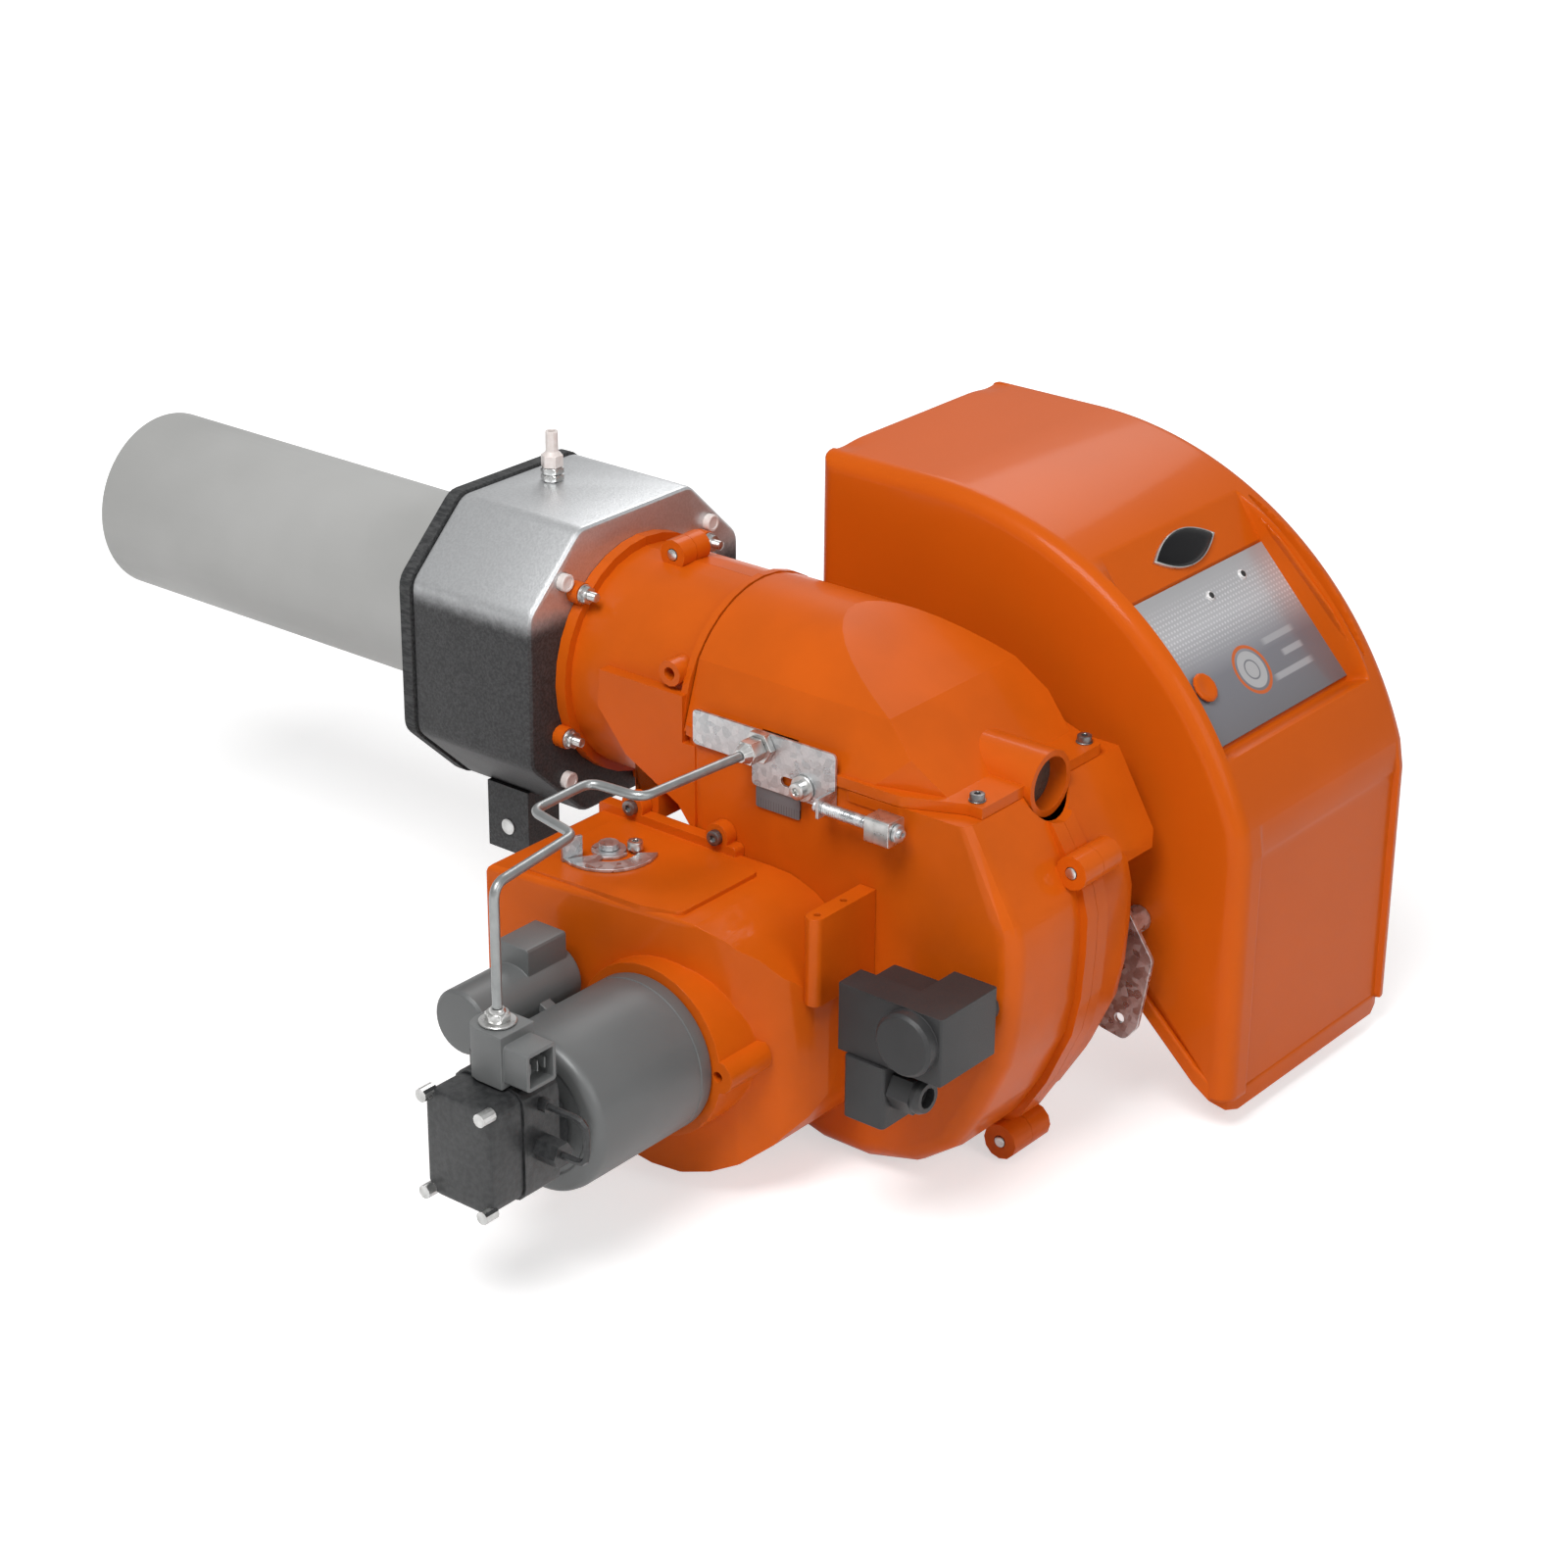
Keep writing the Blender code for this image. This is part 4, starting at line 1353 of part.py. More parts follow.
def adjuster():
    face = PLATE_X - CLEAR
    place = (clamp_y(), PLATE_SLOT_Z)
    seat = SIDE_X - CLEAR
    bushing = turned("X", place, [(CLAMP_SCREW_R, seat), (CLAMP_SCREW_R, face), (CLAMP_WASHER_R, face),
                                  (CLAMP_WASHER_R, face - CLAMP_WASHER_T), (PLATE_SCREW_HEAD_R, face - CLAMP_WASHER_T),
                                  (PLATE_SCREW_HEAD_R, face - CLAMP_WASHER_T - PLATE_SCREW_HEAD_T)], SMALL_STEPS)
    finish(bushing, "plate_clamp_screw", "steel", (face, *place))
    strip_y = RIM_Y - STRIP_BACK
    low = STRIP_TOP_Z - STRIP_H
    strip = prism("X", rounded(box_outline(strip_y - STRIP_LENGTH, strip_y, low, STRIP_TOP_Z), STRIP_T), seat - STRIP_T,
                  seat)
    finish(strip, "index_strip", "light_grey", (seat, strip_y, low))
    rear = RIM_Y - PLATE_FRONT_BACK - PLATE_LENGTH
    block_y = RIM_Y - ROD_BLOCK_BACK
    centre = (ROD_X, ROD_Z)
    half = ROD_BLOCK_H / 2
    section = box_outline(ROD_X - half, ROD_X + half, ROD_Z - half, ROD_Z + half)
    block = prism("Y", rounded(section, ROD_BLOCK_CHAMFER), block_y - ROD_BLOCK_LENGTH, block_y)
    arm = prism("Y", box_outline(ROD_X, seat, ROD_Z - half + ROD_BLOCK_CHAMFER, ROD_Z + ROD_ARM_RISE),
                block_y - ROD_BLOCK_LENGTH * 0.7, block_y - ROD_BLOCK_LENGTH * 0.3)
    fuse(block, arm)
    carve(block, pin("Y", centre, ROD_R + CLEAR, block_y - ROD_BLOCK_LENGTH - OVERRUN, block_y + OVERRUN))
    finish(block, "adjuster_block", "steel", (ROD_X, block_y, ROD_Z))
    start = rear + PLATE_T + ROD_PROUD
    tail = block_y - ROD_BLOCK_LENGTH
    rod = turned("Y", centre, [(ROD_R, start), (ROD_R, block_y + ROD_COLLAR_T + CLEAR),
                               (ROD_COLLAR_R, block_y + ROD_COLLAR_T + CLEAR), (ROD_COLLAR_R, block_y + CLEAR),
                               (ROD_R, block_y + CLEAR), (ROD_R, tail - CLEAR), (ROD_COLLAR_R, tail - CLEAR),
                               (ROD_COLLAR_R, tail - ROD_TAIL)], SMALL_STEPS)
    carve(rod, prism("Y", box_outline(ROD_X - ROD_SLOT_W / 2, ROD_X + ROD_SLOT_W / 2, ROD_Z - ROD_COLLAR_R * 2,
                                      ROD_Z + ROD_COLLAR_R * 2), tail - ROD_TAIL - OVERRUN, tail - ROD_TAIL / 2))
    finish(rod, "adjusting_screw", "steel", (ROD_X, block_y, ROD_Z))


def pressure_switch():
    front = RIM_Y - SWITCH_BACK
    rear = front - SWITCH_W
    inner = SIDE_X - SWITCH_GAP
    outer = inner - SWITCH_DEPTH
    low = SWITCH_TOP_Z - SWITCH_H
    body = prism("Z", rounded(box_outline(outer, inner, rear, front), SWITCH_EDGE_R), low, SWITCH_TOP_Z)
    notch = box_outline(front - SWITCH_NOTCH_W, front + OVERRUN, SWITCH_TOP_Z - SWITCH_NOTCH_D, SWITCH_TOP_Z + OVERRUN)
    carve(body, prism("X", notch, inner - SWITCH_DEPTH * SWITCH_NOTCH_SHARE, inner + OVERRUN))
    cap = (front - SWITCH_CAP_BACK, low + SWITCH_CAP_RISE)
    spigot = (front - SWITCH_SPIGOT_BACK, low + SWITCH_H / 2)
    dome = turned("X", cap, [(SWITCH_CAP_R, outer + OVERRUN), (SWITCH_CAP_R, outer - SWITCH_CAP_T * 0.75),
                             (SWITCH_CAP_R * 0.9, outer - SWITCH_CAP_T)])
    neck = pin("X", spigot, SWITCH_SPIGOT_R, inner - OVERRUN, SIDE_X - CLEAR)
    fuse(body, dome, neck)
    finish(body, "air_pressure_switch", "dark_plastic", (inner, rear, low))
    plug_x0 = outer + PLUG_INSET - PLUG_PROUD
    plug_y1 = front - PLUG_BACK
    plug = prism("Z", rounded(box_outline(plug_x0, plug_x0 + PLUG_W, plug_y1 - PLUG_DEPTH, plug_y1), SWITCH_EDGE_R * 2),
                 low - CLEAR - PLUG_H, low - CLEAR)
    gland = (plug_x0 + PLUG_W / 2, GLAND_Z)
    rear_face = plug_y1 - PLUG_DEPTH
    fuse(plug, pin("Y", gland, GLAND_R, rear_face + OVERRUN, rear_face - GLAND_LENGTH))
    carve(plug, pin("Y", gland, GLAND_BORE_R, rear_face + OVERRUN, rear_face - GLAND_LENGTH - OVERRUN))
    finish(plug, "switch_plug", "dark_plastic", (plug_x0, plug_y1, low))
    tip = rear_face - GLAND_LENGTH
    nut = prism("Y", hexagon(GLAND_NUT_FLATS, gland), rear_face - CLEAR, tip)
    fuse(nut, turned("Y", gland, [(GLAND_NUT_FLATS / 2, tip + GLAND_LIP), (GLAND_NUT_FLATS / 2, tip - GLAND_LIP),
                                  (GLAND_R, tip - GLAND_LIP * 2)]))
    carve(nut, pin("Y", gland, GLAND_R + CLEAR, rear_face + OVERRUN, tip - CLEAR))
    carve(nut, pin("Y", gland, GLAND_BORE_R, rear_face + OVERRUN, tip - GLAND_LIP * 2 - OVERRUN))
    finish(nut, "gland_nut", "dark_plastic", (gland[0], rear_face, gland[1]))


def hood_profile():
    front, rear = HOOD_FRONT_Y, HOOD_REAR_Y
    centre = (RIM_Y + HOOD_ARC_AHEAD, HOOD_TOP_Z - HOOD_ARC_R)
    knee = (RIM_Y + HOOD_KNEE_AHEAD, HOOD_LOW_Z)
    low_z = HOOD_LOW_Z - (knee[0] - rear) * tan(radians(HOOD_TRAY_ANGLE))
    points = [(front, HOOD_LOW_Z), (front, HOOD_TOP_Z - HOOD_FRONT_ROUND), (front - HOOD_FRONT_ROUND, HOOD_TOP_Z)]
    points += arc(HOOD_ARC_R, centre, 90, HOOD_ARC_END, HOOD_STEPS)
    points += [(rear, centre[1] + HOOD_ARC_R * sin(radians(HOOD_ARC_END)) - HOOD_CREASE_DROP), (rear, low_z), knee]
    return points, knee, low_z


def face_plane():
    """Top point of the faceplate, its direction down the slope and its outward normal, in Y and Z."""
    slope = radians(FACE_ANGLE)
    top = Vector((RIM_Y - FACE_TOP_BACK, FACE_TOP_Z))
    down = Vector((-cos(slope), -sin(slope)))
    return top, down, Vector((down.y, -down.x))


def face_point(across, down_share, lift):
    top, down, normal = face_plane()
    spot = top + down * FACE_L * down_share + normal * lift
    return Vector((HOOD_LEFT_X + (HOOD_WIDTH - FACE_W) / 2 + FACE_W * across, spot.x, spot.y))


def hood():
    right = HOOD_LEFT_X + HOOD_WIDTH
    points, knee, low_z = hood_profile()
    body = eased("X", points, HOOD_LEFT_X, right, HOOD_EDGE_R, both=True)
    top, down, normal = face_plane()
    upper = top - down * RECESS_LEAD - normal * FACE_T
    lower = top + down * (FACE_L + RECESS_LEAD) - normal * FACE_T
    edge_top = (RIM_Y - RECESS_TOP_BACK, HOOD_TOP_Z)
    edge_low = (RIM_Y - RECESS_LOW_BACK - OVERRUN * 2, lower.y - OVERRUN)
    recess = [tuple(upper), tuple(lower), edge_low, (HOOD_REAR_Y - OVERRUN, lower.y), (HOOD_REAR_Y - OVERRUN, HOOD_TOP_Z),
              edge_top]
    wall = HOOD_WALL
    inside = eased("X", inset(points, wall), HOOD_LEFT_X + wall, right - wall, HOOD_EDGE_R - wall, both=True)
    slanted = [(HOOD_REAR_Y + wall, low_z - OVERRUN * 3), (knee[0], knee[1] - OVERRUN * 3),
               (HOOD_FRONT_Y - wall, HOOD_LOW_Z - OVERRUN * 3), (HOOD_FRONT_Y - wall, HOOD_LOW_Z + wall * 2),
               (knee[0], knee[1] + wall * 2), (HOOD_REAR_Y + wall, low_z + wall * 4)]
    fuse(inside, prism("X", slanted, HOOD_LEFT_X + wall, right - wall))
    carve(inside, prism("X", inset(recess, -wall), HOOD_LEFT_X + RECESS_MARGIN - wall, right - RECESS_MARGIN + wall))
    carve(body, prism("X", recess, HOOD_LEFT_X + RECESS_MARGIN, right - RECESS_MARGIN), inside)
    spot = face_point(*BUTTON_SHARES, 0)
    hole = pin("Z", (0, 0), BUTTON_STEM_R + CLEAR, -BUTTON_STEM_LENGTH * 2, BUTTON_STEM_LENGTH * 2)
    hole.matrix_world = face_matrix(spot)
    carve(body, hole)
    finish(body, "hood", "orange", (HOOD_LEFT_X, RIM_Y, HOOD_TOP_Z))
    return low_z


def face_matrix(spot):
    """Frame of a piece that stands on the faceplate: local Z is the plate's outward normal."""
    _, down, normal = face_plane()
    columns = (Vector((1, 0, 0)), Vector((0, -down.x, -down.y)), Vector((0, normal.x, normal.y)))
    turn = Matrix((columns[0], columns[1], columns[2])).transposed()
    if turn.determinant() < 0:
        turn = Matrix((-columns[0], columns[1], columns[2])).transposed()
    return Matrix.Translation(spot) @ turn.to_4x4()


def faceplate():
    top, down, normal = face_plane()
    left = HOOD_LEFT_X + (HOOD_WIDTH - FACE_W) / 2
    low = -FACE_T + CLEAR
    sheet = [tuple(top + down * FACE_L * s + normal * h) for s, h in ((0, low), (1, low), (1, 0), (0, 0))]
    plate = prism("X", sheet, left, left + FACE_W)
    for shares in LAMP_SHARES:
        lamp = turned("Z", (0, 0), [(LAMP_R, low / 2), (LAMP_R, LAMP_PROUD * 0.5), (LAMP_R * 0.5, LAMP_PROUD)],
                      SMALL_STEPS)
        lamp.matrix_world = face_matrix(face_point(*shares, 0))
        fuse(plate, lamp)
    spot = face_point(*BUTTON_SHARES, 0)
    hole = pin("Z", (0, 0), BUTTON_STEM_R + CLEAR, -BUTTON_STEM_LENGTH, BUTTON_STEM_LENGTH)
    hole.matrix_world = face_matrix(spot)
    carve(plate, hole)
    finish(plate, "faceplate", "light_grey", tuple(face_point(0, 0, 0)))
    lift = BUTTON_TRAVEL + CLEAR
    button = turned("Z", (0, 0), [(BUTTON_STEM_R, -BUTTON_STEM_LENGTH), (BUTTON_STEM_R, lift), (BUTTON_R, lift),
                                  (BUTTON_R, lift + BUTTON_PROUD * 0.6), (BUTTON_R * 0.85, lift + BUTTON_PROUD),
                                  (BUTTON_R * 0.6, lift + BUTTON_PROUD), (BUTTON_R * 0.4, lift + BUTTON_PROUD * 0.7)],
                    SMALL_STEPS)
    button.matrix_world = face_matrix(spot)
    bpy.context.view_layer.update()
    finish(button, "reset_button", "orange", tuple(spot))


def hood_tray(low_z):
    left, right = HOOD_LEFT_X, HOOD_LEFT_X + HOOD_WIDTH
    knee = (RIM_Y + HOOD_KNEE_AHEAD, HOOD_LOW_Z)
    slope = radians(HOOD_TRAY_ANGLE)
    down = Vector((-cos(slope), -sin(slope)))
    normal = Vector((-sin(slope), cos(slope)))
    front = (HOOD_FRONT_Y, HOOD_LOW_Z - CLEAR)
    bend = (knee[0], knee[1] - CLEAR)
    end = Vector((HOOD_REAR_Y, low_z - CLEAR)) + down * TRAY_PROUD
    under = [(end - normal * TRAY_T), (Vector(bend) - normal * TRAY_T), Vector((front[0], front[1] - TRAY_T))]
    tray = prism("X", [front, bend, tuple(end)] + [tuple(p) for p in under], left - TRAY_PROUD / 2,
                 right + TRAY_PROUD / 2)
    plan = box_outline(left - TRAY_PROUD / 2, right + TRAY_PROUD / 2, under[0].x, HOOD_FRONT_Y)
    trim = prism("Z", rounded(plan, [TRAY_CORNER_R, TRAY_CORNER_R, 0, 0]), low_z - TRAY_T * 4, HOOD_TOP_Z)
    common(tray, trim)
    finish(tray, "hood_tray", "orange", (left, *bend))
    wall = HOOD_WALL + TRAY_PART_GAP
    for name, size, share, x_share in (("control_box", CONTROL_BOX, 0.36, 0.0), ("ignition_transformer", TRANSFORMER_BOX, 0.36, 1.0)):
        base = Vector(knee) + down * (TRAY_RUN * share) + normal * CLEAR
        along = down * size[1]
        up = normal * size[2]
        section = [tuple(base), tuple(base + along), tuple(base + along + up), tuple(base + up)]
        x0 = left + wall if not x_share else right - wall - size[0]
        unit = prism("X", rounded(section, TRAY_SHEET_T), x0, x0 + size[0])
        finish(unit, name, "dark_plastic" if not x_share else "coil_grey", (x0, *base))


def bracket():
    shape = [(RIM_Y - back, z) for back, z in BRACKET_POINTS]
    x0 = BRACKET_X
    plate = prism("X", rounded(shape, BRACKET_CORNER_R), x0, x0 + BRACKET_T)
    spots = [(RIM_Y - back, z) for back, z in BRACKET_SPACERS]
    inner = pin("X", spots[0], SPACER_R, RIGHT_X + CLEAR, x0 + BRACKET_T / 2)
    outer = pin("X", spots[1], SPACER_R, x0 + BRACKET_T / 2, HOOD_LEFT_X - CLEAR)
    fuse(plate, inner, outer)
    hole = (RIM_Y - BRACKET_HOLE[0], BRACKET_HOLE[1])
    carve(plate, pin("X", hole, BRACKET_HOLE_R, x0 - OVERRUN, x0 + BRACKET_T + OVERRUN))
    finish(plate, "hood_bracket", "steel", (x0, *hole))


def build():
    for old in list(bpy.data.objects):
        bpy.data.objects.remove(old)
    blast_tube()
    front_gasket()
    mounting_block()
    block_studs()
    pressure_tap()
    casing()
    flange_bolts()
    top_cover()
    intake_housing()
    damper()
    fan_and_motor()
    oil_pipe(pump())
    head_parts()
    adjuster()
    pressure_switch()
    hood_tray(hood())
    faceplate()
    bracket()


build()
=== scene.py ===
"""Builds the looks of a light-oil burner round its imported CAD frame, in metres, +Z up."""
import json
from functools import cache

import bmesh
import bpy
import numpy as np
from mathutils import Matrix, Vector


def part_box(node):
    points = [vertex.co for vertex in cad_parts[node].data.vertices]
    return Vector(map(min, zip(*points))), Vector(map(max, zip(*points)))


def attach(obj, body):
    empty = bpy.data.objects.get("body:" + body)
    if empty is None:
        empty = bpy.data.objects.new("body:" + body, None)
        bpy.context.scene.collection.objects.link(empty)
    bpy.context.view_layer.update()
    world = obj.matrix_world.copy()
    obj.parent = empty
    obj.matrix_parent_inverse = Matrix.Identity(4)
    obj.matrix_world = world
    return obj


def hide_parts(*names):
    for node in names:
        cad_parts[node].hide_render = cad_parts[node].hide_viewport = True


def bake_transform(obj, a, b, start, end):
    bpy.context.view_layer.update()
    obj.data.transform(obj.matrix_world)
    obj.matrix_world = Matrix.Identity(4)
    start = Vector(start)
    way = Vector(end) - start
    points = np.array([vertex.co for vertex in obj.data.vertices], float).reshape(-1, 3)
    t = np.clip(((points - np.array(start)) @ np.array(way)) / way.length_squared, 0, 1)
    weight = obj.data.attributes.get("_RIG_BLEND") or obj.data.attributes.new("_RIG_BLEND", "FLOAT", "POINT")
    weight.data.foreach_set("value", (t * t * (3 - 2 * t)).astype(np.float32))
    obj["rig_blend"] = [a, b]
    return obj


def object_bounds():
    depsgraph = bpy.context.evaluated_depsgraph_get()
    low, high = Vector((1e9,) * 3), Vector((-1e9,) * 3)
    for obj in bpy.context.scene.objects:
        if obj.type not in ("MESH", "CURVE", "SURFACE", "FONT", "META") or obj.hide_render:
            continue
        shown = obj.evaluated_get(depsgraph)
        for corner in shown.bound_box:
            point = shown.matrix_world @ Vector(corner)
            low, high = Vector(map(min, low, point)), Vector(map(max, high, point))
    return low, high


bl_info = {
    "name": "Oil burner looks",
    "version": (1, 0, 0),
    "blender": (4, 5, 0),
    "location": "View3D > Sidebar > Burner",
    "description": "Dresses the packed burner with finished surfaces and materials",
    "category": "Object",
}

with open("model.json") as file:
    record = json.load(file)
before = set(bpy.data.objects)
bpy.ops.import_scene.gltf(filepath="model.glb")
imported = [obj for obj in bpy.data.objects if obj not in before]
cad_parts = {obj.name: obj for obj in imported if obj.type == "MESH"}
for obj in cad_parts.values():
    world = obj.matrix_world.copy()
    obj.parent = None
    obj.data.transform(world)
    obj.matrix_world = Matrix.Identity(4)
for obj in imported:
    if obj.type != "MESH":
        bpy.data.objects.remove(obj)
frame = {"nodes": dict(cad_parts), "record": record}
CAD_BOX = [list(corner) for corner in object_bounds()]
NODES = frame["nodes"]
BODY_OF = {node: body for body, members in frame["record"]["behaviour"]["bodies"].items() for node in members}

WELD = 2e-5                  # points closer than this are one
FLAT_TURN = np.radians(0.6)  # faces that turn less than this are merged
SHARP = np.radians(38)       # edges that turn more than this stay sharp
BEVEL_TURN = np.radians(24)
CASTING_TURN, COVER_TURN = np.radians(34), np.radians(13)
FINE_SIDES = 128
UP, BACK, LEFT, RIGHT = (0, 0, 1), (0, -1, 0), (-1, 0, 0), (1, 0, 0)
RIM_Y = -0.2175              # rear end of the duct
FAN_Y, FAN_Z = -0.2845, -0.155
VALVE_X, PUMP_Y = -0.326, -0.2905
PUMP_HEADS_X = -0.3612       # the pump cover's screw heads lie beyond this
LINE_Y, LINE_Z = -0.2835, 0.008
BEND_X, STEADY_X = -0.186, -0.108  # between these the pipe bends with the head
KNEE_Y, HOOD_SLOPE = -0.3075, np.tan(np.radians(43))  # behind the knee the hood's lower edge slopes down


# ---- surfaces

def mesh_from(name, grids):
    """One mesh from grids of points. Each grid is rows x columns x 3; neighbours in both ways make a
    quad, a grid marked round joins its last column to its first, and one marked ring its last row too."""
    points, quads, start = [], [], 0
    for grid, around, ring in grids:
        rows, columns = grid.shape[:2]
        index = np.arange(rows * columns).reshape(rows, columns) + start
        index = np.concatenate([index, index[:, :1]], axis=1) if around else index
        index = np.concatenate([index, index[:1]], axis=0) if ring else index
        corners = (index[:-1, :-1], index[:-1, 1:], index[1:, 1:], index[1:, :-1])
        quads.append(np.stack(corners, axis=-1).reshape(-1, 4))
        points.append(grid.reshape(-1, 3))
        start += rows * columns
    mesh = bpy.data.meshes.new(name)
    mesh.from_pydata(np.concatenate(points).tolist(), [], np.concatenate(quads).tolist())
    work = bmesh.new()
    work.from_mesh(mesh)
    bmesh.ops.remove_doubles(work, verts=work.verts, dist=1e-6)
    bmesh.ops.dissolve_degenerate(work, edges=work.edges, dist=1e-7)
    bmesh.ops.recalc_face_normals(work, faces=work.faces)
    work.to_mesh(mesh)
    work.free()
    return smooth(mesh)


def smooth(mesh, turn=SHARP):
    mesh.shade_smooth()
    mesh.set_sharp_from_angle(angle=turn)
    mesh.update()
    return mesh


def axes_of(direction):
    """Unit vector along the direction and two more square to it."""
    along = np.array(direction, float) / np.linalg.norm(direction)
    helper = np.array((0.0, 0.0, 1.0)) if abs(along[2]) < 0.9 else np.array((1.0, 0.0, 0.0))
    first = np.cross(helper, along)
    first /= np.linalg.norm(first)
    return along, first, np.cross(along, first)


def lathe(origin, direction, rows, sides=48):
    """Turned surface. Row k stands at station s along the axis. Its radius is r times a blend of 1, for a
    round row, and of 1 / cos(angle to the nearest flat), for a row whose third number says hexagon."""
    along, first, second = axes_of(direction)
    rows = np.array([(*row, 0.0)[:3] for row in rows], float)
    angle = np.linspace(0, 2 * np.pi, sides, endpoint=False)
    to_flat = (angle + np.pi / 6) % (np.pi / 3) - np.pi / 6
    hexed = rows[:, 2:3] * (1 / np.cos(to_flat) - 1) + 1
    radius = rows[:, 1:2] * hexed
    grid = (np.array(origin, float) + rows[:, 0:1, None] * along
            + (radius * np.cos(angle))[..., None] * first + (radius * np.sin(angle))[..., None] * second)
    return grid, True, False


def loop_lathe(origin, direction, rows, sides=64):
    """The same, with its last row joined to its first: a tube with a wall."""
    grid, _, _ = lathe(origin, direction, rows, sides)
    return grid, True, True


def rounded_path(points, radius, steps=8):
    """Path through the points in which each corner is the curve (1-t)^2 A + 2t(1-t) B + t^2 C, from a
    point A before the corner B to a point C behind it."""
    points = np.array(points, float)
    t = np.linspace(0, 1, steps)[:, None]
    parts = [points[:1]]
    for before, here, after in zip(points, points[1:], points[2:]):
        back, ahead = before - here, after - here
        reach_back, reach_ahead = np.linalg.norm(back), np.linalg.norm(ahead)
        turn = np.arccos(np.clip(back @ ahead / (reach_back * reach_ahead), -1, 1))
        reach = min(radius / np.tan(turn / 2), 0.48 * reach_back, 0.48 * reach_ahead)
        a, c = here + back / reach_back * reach, here + ahead / reach_ahead * reach
        parts.append((1 - t) ** 2 * a + 2 * t * (1 - t) * here + t ** 2 * c)
    parts.append(points[-1:])
    return np.concatenate(parts)


def swept(path, radius, sides=20):
    """Round tube: at each station a circle of that radius square to the path, its frame carried along
    without twist, and a centre point at each end to close it."""
    tangent = np.gradient(path, axis=0)
    tangent /= np.linalg.norm(tangent, axis=1, keepdims=True)
    across = [axes_of(tangent[0])[1]]
    for direction in tangent[1:]:
        step = across[-1] - direction * (across[-1] @ direction)
        across.append(step / np.linalg.norm(step))
    across = np.array(across)
    up = np.cross(tangent, across)
    angle = np.linspace(0, 2 * np.pi, sides, endpoint=False)
    rings = (path[:, None] + radius * np.cos(angle)[None, :, None] * across[:, None]
             + radius * np.sin(angle)[None, :, None] * up[:, None])
    ends = [np.repeat(path[k][None, None], sides, axis=1) for k in (0, -1)]
    return np.concatenate([ends[0], rings, ends[1]]), True, False


# ---- fasteners, as lathe rows

def socket_screw(head_r, head_h, key, start=0.0, shank_r=0.0, shank=0.0):
    """Rows of a cap screw: shank, chamfered head and a hexagonal recess half as deep as the head."""
    top, ease = start + head_h, min(head_h, head_r) * 0.14
    rows = [(start - shank, 0), (start - shank, shank_r), (start, shank_r)] if shank else [(start, 0)]
    rows += [(start, head_r), (top - ease, head_r), (top - ease * 0.3, head_r - ease * 0.3), (top, head_r - ease)]
    return rows + [(top, key * 1.12), (top - ease * 0.4, key, 1), (top - head_h * 0.55, key, 1),
                   (top - head_h * 0.6, 0)]


def washer(radius, thick, start=0.0):
    ease = thick * 0.25
    return [(start, 0), (start, radius - ease), (start + ease, radius), (start + thick - ease, radius),
            (start + thick, radius - ease), (start + thick, 0)]


def hex_nut(flats, thick, start=0.0):
    """Rows of a nut: hexagonal between two ends that are cut back to a circle."""
    half, ease = flats / 2, thick * 0.13
    return [(start, 0), (start, half, 0.0), (start + ease, half, 1), (start + thick - ease, half, 1),
            (start + thick, half, 0.0), (start + thick, 0)]


def threaded(radius, start, end, pitch=0.0009, depth=0.00022):
    """Rows of a thread: the radius falls by the depth at every other row, half a pitch apart."""
    count = max(4, int((end - start) / pitch * 2))
    station = np.linspace(start, end, count)
    drop = np.where(np.arange(count) % 2, depth, 0.0)
    body = list(zip(station, radius - drop))
    return [(start, 0), *body, (end + pitch * 0.4, radius * 0.8), (end + pitch * 0.4, 0)]


# ---- materials

def maths(operation, swapped=False):
    """A method that adds a Math node for the reading and the other value."""
    def method(self, other=0.0):
        left, right = (other, self) if swapped else (self, other)
        return self.graph.node("ShaderNodeMath", {"operation": operation}, {0: left, 1: right})
    return method


class Reading:
    """A number on a socket. Arithmetic on it adds Math nodes."""

    def __init__(self, graph, socket):
        self.graph, self.socket = graph, socket

    __add__ = __radd__ = maths("ADD")
    __sub__, __rsub__ = maths("SUBTRACT"), maths("SUBTRACT", swapped=True)
    __mul__ = __rmul__ = maths("MULTIPLY")
    __truediv__, __pow__ = maths("DIVIDE"), maths("POWER")
    top, size, wave = maths("MAXIMUM"), maths("ABSOLUTE"), maths("SINE")

    def rise(self, start, end):
        """0 below start, 1 above end and smooth between."""
        return self.graph.node("ShaderNodeMapRange", {"interpolation_type": "SMOOTHSTEP"},
                               {0: self, 1: start, 2: end, 3: 0.0, 4: 1.0})


class Graph:
    """A node tree whose outputs are handed out as readings."""

    def __init__(self, tree):
        self.tree = tree

    def node(self, kind, settings, inputs, output=0):
        """Adds a node: its settings first, a ramp's stops among them, then values or links."""
        made = self.tree.nodes.new(kind)
        for key, value in settings.items():
            if key == "stops":
                ramp = made.color_ramp
                while len(ramp.elements) < len(value):
                    ramp.elements.new(0.5)
                for element, (position, colour) in zip(ramp.elements, value):
                    element.position, element.color = position, (*colour, 1.0)
            else:
                setattr(made, key, value)
        for key, value in inputs.items():
            if isinstance(value, Reading):
                self.tree.links.new(value.socket, made.inputs[key])
            elif isinstance(value, tuple) and made.inputs[key].type == "RGBA":
                made.inputs[key].default_value = (*value, 1.0)
            else:
                made.inputs[key].default_value = value
        return Reading(self, made.outputs[output])

    def ray(self, kind):
        """1 for rays of that kind and 0 for others."""
        return self.node("ShaderNodeLightPath", {}, {}, f"Is {kind} Ray")


